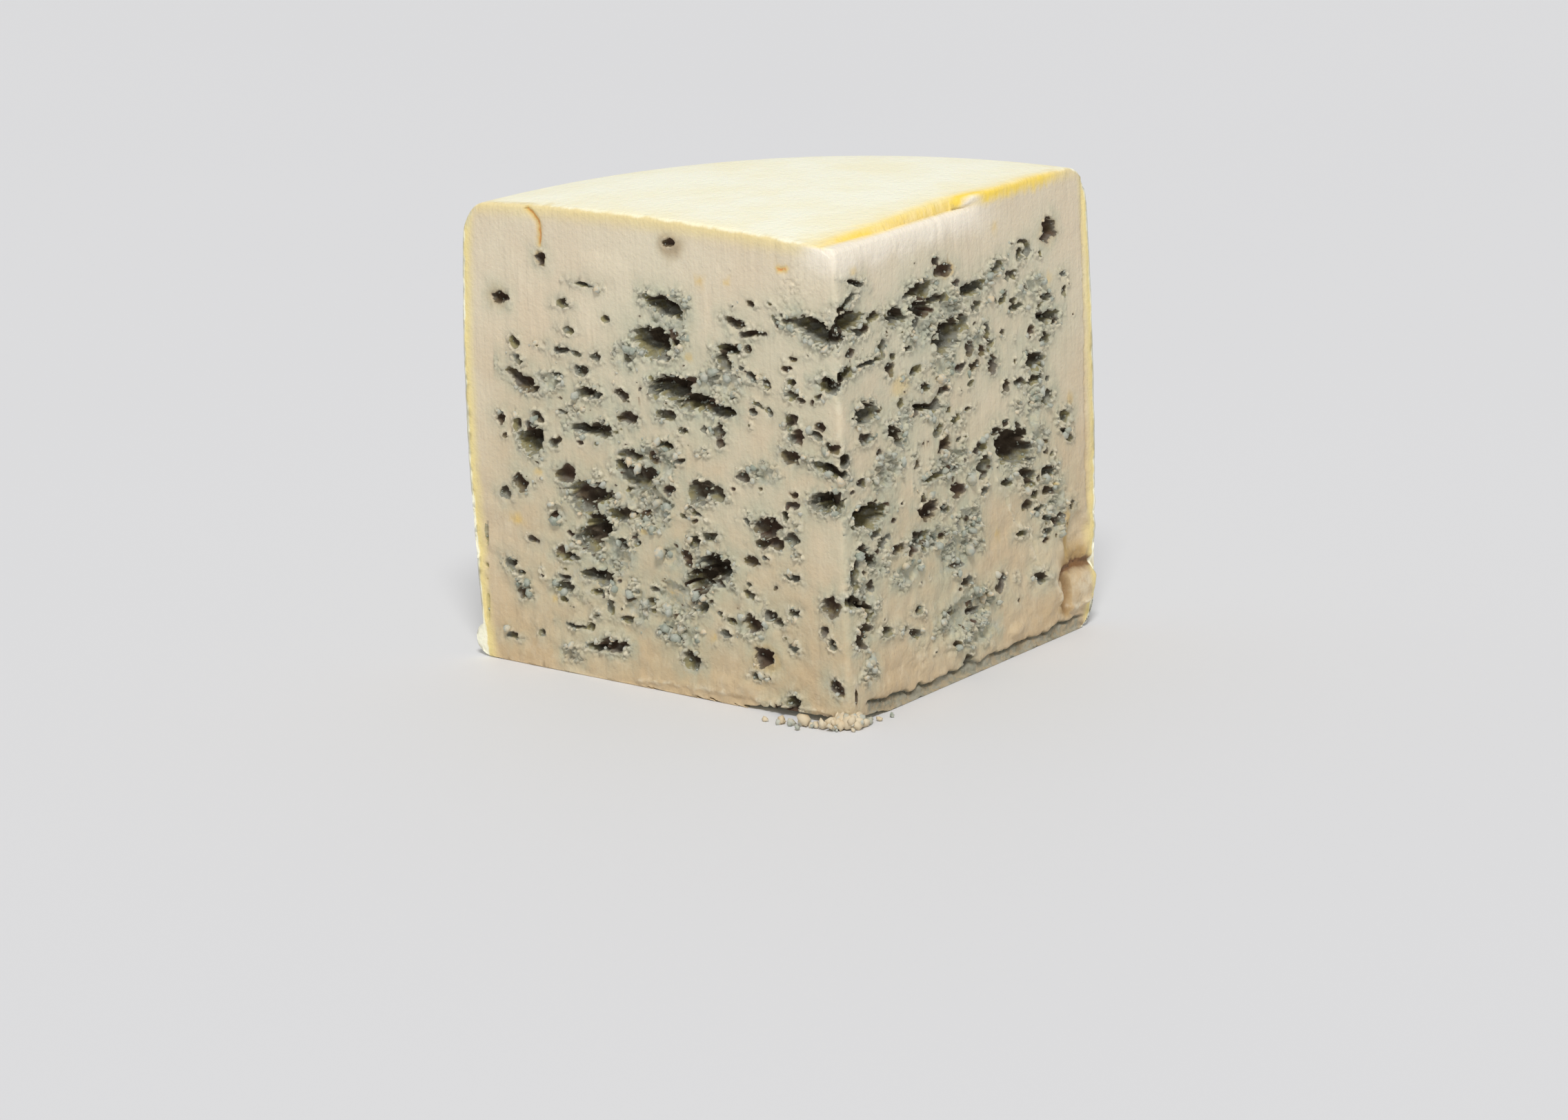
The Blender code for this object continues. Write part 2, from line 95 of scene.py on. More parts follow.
# Openings of the mould veins: distance from the tip, height, width, opening height in millimetres
# and rise in degrees, by what they look like
LEFT = {
    "slate": (
        (66.5, 33.2, 5.5, 4.6, 0), (34, 28.9, 8, 4.8, 0), (39.1, 25.3, 5.6, 4.4, 0),
        (44.5, 65.3, 9, 4.4, 0), (38.3, 62.8, 7, 3.2, -15), (31.7, 62, 6, 2.4, 0),
        (45.8, 82, 8.5, 3.4, 14), (49.8, 74.2, 6.5, 5.6, 0), (83.8, 48.9, 5.5, 5.2, 0),
        (59.2, 46.8, 3.2, 2, 0), (68.3, 53.4, 7, 1.8, 0), (5, 81.2, 12, 4.2, 12),
        (3.7, 46.3, 8, 3.6, -12), (3, 53.2, 8, 1.8, 15), (2.3, 70.6, 6, 2.8, -5),
        (68.3, 6.6, 5, 1.4, 0), (69.4, 22.2, 5, 2.2, 0), (38.6, 20.4, 2.8, 3.6, 0),
        (46.8, 71.6, 3, 1.6, 0), (43.6, 74.6, 1.8, 1.6, 0), (76.6, 64.2, 2.6, 0.8, 0),
        (67.8, 84.1, 5, 0.8, 3), (15, 41.9, 1.6, 2, 0), (46.5, 53, 4, 1.4, 0),
        (28, 74.9, 5, 1.6, 0), (25.4, 26.3, 1, 1, 0), (68.5, 61, 3, 1.6, 0),
    ),
    "grey": (
        (68.3, 40.1, 10, 4, 0), (70, 37.4, 6, 3, 0), (69.3, 29.3, 6, 4.4, 0),
        (59.7, 36.4, 5.8, 2.8, 0), (54.5, 45, 7.5, 4.4, 0), (66, 22, 5, 3, 0),
        (40, 33.3, 2.8, 2.6, 0), (36, 35.2, 3.6, 1.8, 0), (35.3, 64.2, 4, 0.9, 0),
        (87.9, 52.2, 1.6, 2.6, 0), (56.9, 49.5, 4.5, 2, 0), (64.4, 53.8, 6, 2.6, 0),
        (38.4, 44, 4.5, 4, 0), (35.9, 46, 3, 1.3, 0), (33.5, 44, 4, 2.6, 0),
        (39.6, 39.9, 3.4, 1.2, 30), (42.4, 38.4, 1.8, 1, 0), (15, 3, 3, 3.2, 0),
        (42.2, 7.6, 3.8, 3.6, 0), (24.5, 7.2, 2.6, 1.4, 0), (67.3, 18.7, 3.6, 1.1, 0),
        (73.8, 79.5, 3, 1.4, 0), (61.7, 77.2, 2, 1.3, 0), (72.3, 73.9, 3, 1.2, 0),
        (74.5, 69.4, 5, 1.3, 0), (69.3, 65.8, 3, 2, 0), (66.3, 61.4, 5, 1.9, 0),
        (45.7, 59.4, 4.5, 1.9, 0), (41.8, 56.4, 2.6, 1.4, 0), (36.1, 57.4, 1.6, 1.4, 0),
        (12, 67.3, 3, 1.8, 0), (12.1, 69.7, 1.6, 1.6, 0), (12.4, 58.8, 3, 1.5, 0),
        (75.7, 25.6, 4.6, 1.7, 0), (76.5, 18.5, 4.2, 2, 0), (74.5, 10.5, 4.6, 0.9, 0),
        (63.9, 16.1, 2, 2.6, 0), (59.4, 14.1, 3, 1.6, 0), (92.3, 21.4, 3, 2.2, 25),
        (56.5, 69.9, 2.4, 2.2, 0), (13.6, 37.4, 2.8, 2.2, 0), (14.2, 21.9, 2.4, 1.8, 0),
        (25.5, 24.1, 2.8, 1.7, 0), (33.5, 19.2, 1.6, 1.2, 0), (30.7, 17.9, 2, 1.4, 0),
        (20.5, 19.7, 2.2, 1.2, 0), (18.1, 19.4, 2.6, 1.4, 0), (14.5, 14.5, 2.8, 1.5, 0),
        (92.3, 5.6, 3, 1.4, 0), (77.2, 15.8, 1.6, 1, 0), (52.7, 18.9, 2, 1.6, 0),
        (29.9, 72.2, 3.2, 3, 0), (22.6, 70.1, 2.6, 1.6, 0), (32, 57.8, 2.6, 3.4, 0),
        (59.6, 30.2, 2, 2.2, 0), (56.2, 31.5, 1.2, 2.8, 0), (92.6, 36.7, 2.8, 2.2, 0),
        (86.8, 66, 3, 1.6, 30), (65, 69.2, 3, 1.6, 0), (70.3, 69.2, 2.6, 1, 0), (77.5, 49.5, 2.4, 1.6, 0),
        (74.9, 56.3, 3, 0.8, 0), (16, 82.4, 1.8, 1.4, 40), (13, 82.6, 3, 1, 0), (21, 64.2, 2.6, 0.8, 20),
        (23, 62.8, 2, 1.6, 0), (6.4, 59.8, 3, 1.4, 15), (25.5, 39.6, 2.6, 1.2, 15), (13.6, 29.5, 3, 1.4, 0),
        (32.2, 15, 2.4, 1.6, 30), (3.7, 17, 2, 1.8, 0), (51.5, 21.7, 1.8, 1, 0), (63, 40, 3, 1.5, 0),
        (87.6, 69.7, 2, 1.8, 0), (84.2, 7.4, 1.5, 1.4, 0), (76.5, 20.5, 3, 1.2, 0), (89, 20, 2.4, 1, 0),
    ),
    "crumbly": (
        (78.5, 62.7, 5, 2.8, 0), (41.6, 81.5, 3.5, 4.6, 0), (44.3, 77, 7, 8, 0),
        (45.5, 13.1, 6.5, 3.4, 0), (57, 70.4, 4, 3.4, 0), (77.9, 34.3, 3, 2.4, 0),
        (88.4, 16.4, 3, 2.6, 0), (56.4, 17.7, 3.5, 6, 0), (75.9, 4.2, 3.5, 2.4, 0),
        (20.5, 50.2, 4.5, 2.6, 0), (46.3, 29.4, 4, 3.6, 0), (52, 39, 9, 7, 0),
        (63, 27, 8, 6, 0), (46, 20, 9, 6, 0), (50, 49, 9, 5, 0), (30, 68, 7, 4, 0),
    ),
    "olive": (
        (75.2, 43, 4, 2.8, 0), (85.8, 61.8, 8, 2.4, 20), (63.7, 7.7, 6.5, 2.4, 0),
        (20.1, 39.1, 6, 4.2, 0), (21.5, 35.5, 3.8, 1.6, 0), (18.1, 36, 3.5, 2.2, 0),
        (3.7, 24.9, 3.8, 3, 0), (57, 57.1, 4.4, 2.8, 0), (58.7, 62, 3.6, 1.9, 15),
        (24.9, 18, 3.6, 2.8, 0), (13.2, 54.7, 4.2, 2.3, 0), (24.8, 31.5, 3.6, 1.8, 0),
        (46.3, 43.3, 3.2, 2, 0), (13.2, 44.5, 2.6, 1.5, 0), (31.9, 54.9, 2.4, 1.7, 0),
        (26.7, 80.8, 4.5, 1.6, 8), (22.6, 78.8, 5.8, 1.2, -8), (22.3, 85, 2.4, 1.3, 0),
        (5.7, 19.4, 2, 2, 0), (12, 74.7, 2, 1, 0), (11.9, 62.5, 3.2, 1.4, 25),
        (1.7, 57.9, 3.5, 1.8, 0), (25.7, 48.9, 3, 1.8, 0), (3, 8, 4, 2.4, 35),
        (87.8, 39.7, 2.8, 3, 0), (81.6, 54.4, 3, 1.6, 0),
    ),
    "brown": (
        (22.3, 11.1, 4, 3.8, 30), (91.4, 78.8, 3.5, 2.6, 0), (92.8, 53.2, 2.6, 2.4, 0),
        (79.2, 88.4, 2.6, 2.6, 0), (17.1, 0.8, 6, 1.8, 0), (43.8, 95.2, 2.4, 1.6, 0),
    ),
}
RIGHT = {
    "slate": (
        (20.5, 81.1, 6.5, 2.8, -10), (29.3, 80.8, 7.5, 3.2, -10), (39.6, 73.2, 8.6, 5.2, 0),
        (44.7, 75.2, 2.6, 3.2, 0), (48.3, 81.2, 8, 2.3, 0), (9.3, 63.3, 6.5, 3.6, 0),
        (9.6, 42.1, 11, 4.2, 0), (2.9, 25.6, 6, 2, -15), (7.1, 23.7, 4.6, 2.2, -25),
        (3.4, 83.4, 8, 3.2, -5), (2.4, 72.7, 5.5, 2.2, 10), (64.6, 74.4, 5, 1.2, -5),
        (77, 70, 5.8, 2.2, -3), (74.6, 36.7, 4.8, 2.3, 0), (71.7, 29.7, 3.6, 1.5, 0),
        (74, 65.6, 1.6, 1, 0), (73.5, 61.7, 2, 1.2, 0), (3.5, 87, 7, 1.4, 20),
        (36.5, 70.9, 4.6, 1.8, -30), (6.6, 90.3, 5.4, 0.9, -20), (10.7, 73.5, 8, 0.9, 3),
        (30.2, 60.3, 9.5, 1.2, -12), (19.2, 56.8, 5.5, 2.2, -45), (8.9, 33, 4.6, 2.2, -30),
        (1.2, 55.2, 2.8, 2.6, 0), (15.6, 75.3, 2.6, 3.2, 0), (50.9, 43.8, 3.4, 2.6, 0),
        (59.5, 38.1, 3.4, 1.5, -25), (66.3, 85, 2, 2.4, 0), (46.8, 13.4, 5, 1.2, 0),
    ),
    "grey": (
        (62, 45, 12.6, 6.6, -28), (29.3, 84.9, 7, 3, 0), (34.1, 81.7, 5, 1.8, 0),
        (8.3, 80.7, 4.6, 2, 0), (12.5, 82.2, 4, 1.6, 0), (27.4, 77.8, 3.4, 2.4, 0),
        (70.2, 61.5, 5.6, 3.6, -15), (57.5, 84, 5.6, 2, 12), (64.8, 58.5, 3.6, 1.3, -15),
        (70.6, 57.7, 4.4, 1.8, 0), (75.2, 53, 4.2, 2.1, 0), (67.5, 38.1, 6, 2, -20),
        (67.3, 35.8, 4, 1.9, 0), (82, 47.6, 4, 2.4, 0), (55.5, 50, 2.6, 1.6, 0),
        (64.3, 48.6, 2, 1.5, 0), (50.7, 47.6, 2.6, 2, 0), (78.3, 25.6, 4, 1.8, -20),
        (74.8, 26.9, 2.6, 1.4, 0), (74.8, 24.2, 3, 1.3, 0), (71.5, 14.8, 4, 2, -20),
        (27.3, 68.6, 4.6, 1.5, 8), (30.2, 64.3, 3.6, 1.5, -25), (24.7, 73.7, 3, 1, 0),
        (21.2, 62.8, 2.4, 1.8, 0), (10, 58.1, 2.2, 1.8, 0), (7.8, 57.9, 3, 1.9, 0),
        (40.7, 55.4, 3.2, 1.9, 0), (13.9, 35.5, 4.4, 1.7, 10), (11.2, 37.9, 3, 1.6, 0),
        (3.6, 30.5, 2.2, 5.6, 0), (14.4, 16.9, 3.6, 1.6, 0), (25.6, 33.2, 3.8, 3.4, 0),
        (28.6, 33.7, 2.8, 1.8, 0), (28.3, 31.5, 1.6, 2.4, 0), (41, 24.6, 4, 1.2, 0),
        (26.1, 18.6, 2.6, 1.3, 0), (24.9, 13.6, 3.6, 1.7, -20), (32.2, 45.2, 6.5, 1.3, 3),
        (41, 45, 3, 1.2, 0), (36.3, 37.6, 3, 1.7, 0), (43.9, 20.4, 3, 2, 0),
        (44, 3.4, 3, 2, 0), (68.9, 85.2, 2.2, 3.2, 0), (60.2, 77.1, 2.6, 2.5, 0),
        (53.3, 71.2, 2, 3.4, 0), (54, 68.2, 2.6, 2.7, 0), (75.1, 74.2, 3.4, 1.6, 0),
        (51.2, 38, 2.6, 1.4, 0), (51.2, 41.4, 2.6, 1.4, 0), (64.6, 25.8, 3.2, 1.1, 0),
        (81.5, 44.3, 2.6, 1, -20), (83.9, 42.6, 2, 1.7, 0), (42.4, 65.7, 2.6, 1.4, 0),
        (37, 62.4, 3, 1.6, 0), (41.4, 75.2, 3.2, 2.6, 0), (62.2, 81.3, 1.7, 1.9, 0),
        (73, 71, 2.4, 1.6, 0), (79.3, 68.3, 2.5, 1.5, 0), (75.8, 65.3, 2.8, 2.3, 0),
        (25.2, 84.6, 3.6, 1.2, 8), (37.5, 81.3, 2, 2, 0), (19, 73, 2, 1.4, 0), (38.5, 57.8, 1.6, 1, 0),
        (45.4, 56.6, 2.4, 0.8, 0), (42.4, 50.9, 2, 0.8, 0), (7, 49.4, 2.5, 1.6, 0), (45.6, 69.7, 1.6, 1.2, 0),
        (7.1, 35.1, 2.6, 1.6, 0), (9.4, 27.6, 2, 2, 0), (20.5, 15.6, 2, 1.4, 0), (28.3, 41.6, 1.4, 1.4, 0),
        (42.9, 34.3, 2.4, 1.2, 0), (45.3, 33, 1.6, 1.8, 0), (39, 14.5, 5, 1.4, 0), (49.7, 77.3, 3.6, 1.6, 0),
        (67.3, 87.6, 3, 0.8, 0), (73.6, 84, 1.6, 1, 0), (63.9, 81.3, 1.8, 2, 0), (63.9, 75.8, 2.2, 1.3, 0),
        (73, 73, 1.8, 1.6, 0), (82.9, 73.9, 1.4, 1.8, 0), (76.3, 56.9, 2, 1.2, 0), (76.8, 40.6, 1.6, 1, 0),
    ),
    "crumbly": (
        (30.2, 76.1, 7, 3.6, 0), (22.4, 59.4, 3.4, 3.6, 0), (7, 26.3, 5, 5, 0),
        (32.2, 32.3, 6, 3, 0), (40.5, 27.6, 8, 6, 0), (48.2, 70.2, 4.6, 2.8, 0),
        (70.2, 77.8, 5, 2.3, 0), (72.2, 45.3, 4.4, 3, 0), (38.4, 46.7, 8, 4.2, 0),
        (37, 67.8, 4.6, 3.4, 0), (7.6, 9.6, 3.8, 3.2, 0), (48, 43.6, 4, 3, 0),
        (43.5, 14, 15, 5, 0), (16, 50, 7, 5, 0), (45, 33, 6, 5, 0), (40, 78, 7, 4, 0),
        (48, 8, 10, 2.5, 0), (79, 29, 4, 7, 0), (70, 52, 3, 6, 0), (22, 27, 6, 3, 0),
    ),
    "olive": (
        (18, 70.5, 3, 2.4, 0), (37, 87.2, 4, 2, 0), (55, 64.2, 3.4, 3.2, 0),
        (6.3, 19.3, 4, 2, 0), (5, 16.8, 4, 3, 0), (35.5, 89.4, 2.6, 1.4, 0),
        (57.1, 17.3, 2.5, 3, 0), (42.4, 83.7, 2.2, 1.2, 0), (19, 33, 4.6, 1.5, 0),
        (75.5, 33, 3.4, 1.5, -20), (13.6, 54.2, 2, 1.4, 0), (49, 65.6, 2.4, 1.6, 0),
    ),
    "brown": (
        (30.2, 39, 6, 3.6, -5), (37, 50.7, 3.6, 3, 0), (77.1, 88, 4.4, 4.4, 25),
        (41.1, 40.6, 4, 2.4, -25), (39.3, 86.9, 3.6, 1.7, 0), (2.4, 6.0, 0.9, 3.2, 0),
    ),
}
# Depth against the root of the opening's area, darkness, which is the strength of the painted
# shade in its walls (at 0 no walls are drawn), and how mouldy, brown and crumbly
LOOKS = {
    "slate": (0.8, 1.0, 0.7, 0.0, 0.75),
    "grey": (0.46, 0.85, 0.7, 0.05, 0.8),
    "crumbly": (0.12, 0.0, 0.75, 0.0, 1.0),
    "olive": (0.5, 0.9, 0.6, 0.7, 0.6),
    "brown": (0.55, 0.8, 0.15, 1.0, 0.3),
}
# Growth of every opening, as the noise bites into it, greatest depth, depth of the step at the
# rim, distance at which its marks have faded, and number of small pits that are tried
GROWTH, MOST_DEPTH, RIM_STEP, FADE_REACH = 1.24, 6.0, 1.0, 3.2
SMALL_PITS = 560
# Stains on the cuts: side, distance from the tip, height, width, stain height, yellow, brown
STAINS = (
    (-1, 79.2, 88.6, 3, 2.8, 0.5, 0.7),
    (-1, 43.6, 94.6, 6.5, 5, 0.15, 0.6), (-1, 89.4, 31.5, 3.4, 1.7, 0.6, 0.0),
    (-1, 82.4, 42.6, 2, 1.6, 0.5, 0.0), (-1, 35.6, 88, 2.2, 1.6, 0.6, 0.1),
    (-1, 28.4, 88.8, 2, 1.4, 0.5, 0.0), (-1, 39.3, 72.2, 2.4, 1.8, 0.5, 0.1),
    (-1, 53.8, 33.8, 2, 1.6, 0.5, 0.0), (-1, 79.9, 15.6, 2, 1.6, 0.5, 0.0),
    (-1, 35.6, 14, 2, 1.6, 0.5, 0.1), (-1, 47.5, 21, 2, 1.6, 0.4, 0.1),
    (-1, 92, 79, 6, 5, 0.1, 0.35), (-1, 22, 11, 7, 6, 0.3, 0.3),
    (1, 21.5, 66.5, 7, 4, 0.35, 0.0), (1, 6.1, 93, 2.4, 1.6, 0.5, 0.0),
    (1, 39.2, 86.9, 5, 3, 0.7, 0.3), (1, 57.3, 92.6, 2, 1.4, 0.5, 0.0),
    (1, 77.5, 77.8, 2.2, 1.8, 0.5, 0.0), (1, 56.1, 27.6, 1.8, 1.2, 0.65, 0.2),
    (1, 77.5, 33.3, 3, 1.6, 0.6, 0.1), (1, 84.3, 50.7, 2.2, 3, 0.4, 0.2),
    (1, 82.6, 20.5, 3.4, 12, 0.6, 0.45), (1, 81.4, 8.8, 3.8, 10, 0.4, 1.0), (1, 30.2, 39, 8, 6, 0.1, 0.3),
    (1, 48.8, 65.5, 3, 2, 0.4, 0.1), (1, 77.1, 88, 7, 6, 0.1, 0.25),
)
# Torn paste without mould: side, distance from the tip, height, radii, strength
TORN = (
    (-1, 9.5, 88.0, 6.5, 6.0, 0.8), (-1, 4.0, 80.0, 3.0, 4.0, 0.6), (-1, 27.5, 90.5, 3.2, 2.0, 0.7),
    (1, 22.0, 94.0, 12.0, 1.6, 0.3), (1, 40.0, 80.0, 3.0, 3.0, 0.5), (1, 84.0, 26.0, 6.0, 12.0, 0.45),
    (-1, 82.0, 88.0, 2.6, 3.4, 0.6), (-1, 66.0, 12.0, 9.0, 3.0, 0.4), (1, 30.0, 8.5, 12.0, 3.6, 0.5),
)
# Lines on the cuts: side, half-width, depth, marks, and distances from the tip with heights
LINES = (
    (-1, 0.62, 0.5, {"yellow": 1.0, "brown": 0.3},
     ((82.4, 98.4), (80.9, 97.5), (79.7, 96.3), (79.1, 94.9), (79.1, 93.2), (79.5, 91.3))),
    (1, 0.5, -0.45, {"proud": 1.0},
     ((55.6, 39.4), (58.5, 35.5), (60.0, 34.5), (61.0, 31.5), (63.0, 28.0), (68.7, 25.6), (69.2, 19.7),
      (71.2, 17.7), (73.5, 14.8), (77.6, 11.8), (79.2, 8.0), (80.4, 4.4))),
    (1, 0.45, 0.4, {"halo": 0.8},
     ((56.3, 38.6), (59.4, 34.6), (62.0, 30.6), (64.2, 26.8), (69.6, 24.4), (70.3, 18.6))),
    (1, 0.4, 0.45, {"brown": 0.25}, ((91.0, 97.0), (90.6, 80.0), (90.9, 62.0), (90.2, 45.0), (90.8, 26.0))),
    (1, 1.15, 1.3, {"brown": 2.0}, ((79.8, 13.2), (82.0, 14.2), (86.0, 14.4), (90.0, 13.9), (91.7, 13.4))),
    (1, 2.2, 0.0, {"brown": 0.75, "yellow": 0.5}, ((81.5, 15.4), (85.0, 16.4), (88.5, 16.2))),
    (1, 2.6, 0.0, {"proud": 0.8}, ((86.8, 9.4), (90.0, 8.8))),
    (1, 0.8, -0.8, {"proud": 1.2}, ((83.0, 5.6), (86.5, 5.2), (90.5, 6.0))),
    (-1, 0.6, 0.2, {"yellow": 1.0}, ((12.6, 93.1), (14.8, 92.8))),
    (-1, 0.45, -0.3, {"proud": 0.9}, ((58.0, 1.2), (44.0, 2.2), (30.0, 2.6), (16.0, 2.4), (5.0, 2.4))),
)
# Swellings of the cuts: side, distance from the tip, height, width, own height, rise over the cut
BULGES = (
    (1, 88.2, 9.2, 10.5, 8.0, 1.4), (1, 86.0, 20.0, 10.0, 12.0, -1.5), (1, 81.4, 8.6, 4.2, 10.0, -1.4),
    (1, 71.0, 50.0, 3.0, 9.0, 0.7), (1, 76.0, 14.0, 12.0, 16.0, 0.8),
    (1, 62.0, 5.5, 6.0, 3.0, 0.7), (1, 40.0, 9.0, 12.0, 4.0, 0.6), (-1, 62.0, 88.0, 14.0, 7.0, 0.4),
    (-1, 30.0, 4.0, 14.0, 4.0, 0.5),
)
# Faint greenish clouds in the paste round the veins: side, distance, height, radii, strength
CLOUDS = (
    (-1, 68, 34, 15, 14, 0.9), (-1, 47, 72, 14, 14, 0.8), (-1, 37, 28, 12, 10, 0.8),
    (-1, 72, 56, 17, 10, 0.7), (-1, 55, 46, 12, 8, 0.7), (-1, 38, 60, 12, 9, 0.7),
    (-1, 18, 40, 10, 8, 0.7), (-1, 46, 14, 14, 9, 0.7), (-1, 8, 80, 13, 8, 0.6),
    (-1, 68, 12, 12, 10, 0.6), (-1, 22, 18, 13, 9, 0.6), (-1, 22, 74, 12, 9, 0.5),
    (-1, 84, 45, 9, 12, 0.5), (-1, 10, 60, 9, 9, 0.5), (-1, 78, 20, 12, 9, 0.5),
    (1, 34, 79, 16, 11, 0.9), (1, 10, 38, 12, 12, 0.9), (1, 38, 30, 14, 13, 0.9),
    (1, 62, 45, 15, 10, 0.8), (1, 70, 68, 15, 16, 0.8), (1, 25, 58, 14, 11, 0.7),
    (1, 8, 24, 11, 9, 0.8), (1, 8, 78, 10, 12, 0.6), (1, 42, 48, 12, 9, 0.7),
    (1, 48, 68, 12, 12, 0.6), (1, 75, 30, 10, 12, 0.6), (1, 45, 14, 16, 7, 0.7),
)


# Noise on whole arrays

def lattice(ix, iy, seed):
    """A repeatable number from 0 to 1 for each whole-numbered point of a lattice."""
    h = ix.astype(np.uint32) * np.uint32(2654435761) + np.uint32(seed * 97 + 13)
    h = h ^ (iy.astype(np.uint32) * np.uint32(2246822519))
    h = (h ^ (h >> np.uint32(15))) * np.uint32(2246822519)
    h = (h ^ (h >> np.uint32(13))) * np.uint32(3266489917)
    return (h ^ (h >> np.uint32(16))).astype(np.float64) / 4294967295.0


def value_noise(x, y, seed):
    """Smooth noise from -1 to 1: lattice numbers blended over each cell by 3t^2 - 2t^3."""
    ix, iy = np.floor(x).astype(np.int64), np.floor(y).astype(np.int64)
    fx, fy = x - ix, y - iy
    fx, fy = fx * fx * (3 - 2 * fx), fy * fy * (3 - 2 * fy)
    low = lattice(ix, iy, seed) * (1 - fx) + lattice(ix + 1, iy, seed) * fx
    high = lattice(ix, iy + 1, seed) * (1 - fx) + lattice(ix + 1, iy + 1, seed) * fx
    return 2 * (low * (1 - fy) + high * fy) - 1


def fractal(x, y, seed, octaves=3):
    """Octaves of noise, each twice as fine and half as strong as the one before."""
    total = sum(value_noise(x * 2**i, y * 2**i, seed + i) / 2**i for i in range(octaves))
    return total / sum(0.5**i for i in range(octaves))


def cell_noise(x, y, seed):
    """Distances to the nearest and second nearest of one random point in each lattice cell."""
    ix, iy = np.floor(x).astype(np.int64), np.floor(y).astype(np.int64)
    first = np.full(x.shape, 9.0)
    second = np.full(x.shape, 9.0)
    for dx in (-1, 0, 1):
        for dy in (-1, 0, 1):
            px = ix + dx + lattice(ix + dx, iy + dy, seed)
            py = iy + dy + lattice(ix + dx, iy + dy, seed + 7)
            d = np.hypot(px - x, py - y)
            second = np.minimum(second, np.maximum(first, d))
            first = np.minimum(first, d)
    return first, second


def smoothstep(low, high, x):
    """0 below low, 1 above high, and a smooth rise between them."""
    t = np.clip((x - low) / (high - low), 0.0, 1.0)
    return t * t * (3 - 2 * t)


# Form of the wedge

def wheel_wall(z):
    """Radius of the barrel, less at the top and the foot by the bulge."""
    return WHEEL_RADIUS - BULGE * (2 * z / WHEEL_HEIGHT - 1) ** 2


def dome(p):
    """Height of the shallow dome over a point of the plan."""
    return DOME_HEIGHT - ((p - DOME_APEX) ** 2).sum(-1) / (2 * DOME_RADIUS)


def rim_radius(z, top, arc):
    """Radius of the rind at a height: the barrel, rounded at the top and the foot, and the toe.

    The roundings are quarter ellipses. The toe is an ellipsoid at the foot of the left corner,
    arc is the distance along the rim from that corner.
    """
    up = np.clip((z - (top - RIM_TOP_DROP)) / RIM_TOP_DROP, 0, 1)
    down = np.clip(1 - z / RIM_FOOT_ROUND, 0, 1)
    wall = wheel_wall(z)
    wall = wall - RIM_TOP_INWARD * (1 - np.sqrt(1 - up**2))
    wall = wall - RIM_FOOT_ROUND * (1 - np.sqrt(1 - down**2))
    left = 1 - ((z - TOE_UP - 0.2) / TOE_UP) ** 2 - (arc / TOE_ALONG) ** 2
    toe = TOE_MIDDLE + TOE_ACROSS * np.sqrt(np.clip(left, 0, 1))
    return np.where(left > 0, np.maximum(wall, toe), wall)


def cut_end(side, inset, radius):
    """Distance along a cut, moved in by inset, at which it meets the circle of the rim."""
    start = -inset[..., None] * OUTWARD[side] - WHEEL_AXIS
    b = start @ ALONG[side]
    c = (start**2).sum(-1) - radius**2
    return np.sqrt(b * b - c) - b


def cut_start(inset, other):
    """Distance along a cut, moved in by inset, at which it meets the other cut, moved in too."""
    return (other + inset * math.cos(2 * HALF_ANGLE)) / math.sin(2 * HALF_ANGLE)


def ledge_depth(s):
    """How far the rind stands back from the right cut along its top."""
    return np.interp(s, LEDGE_PLACES, LEDGE_DEPTHS)


def bottom_height(p):
    """The underside: flat, but for the shallow hollow where it has broken away by the tip."""
    d = p - ALONG[-1] * LIFT_ALONG
    r = np.hypot(d @ ALONG[-1] / LIFT_REACH[0], d @ OUTWARD[-1] / LIFT_REACH[1])
    return LIFT * np.sqrt(np.clip(1 - r**2, 0, 1))


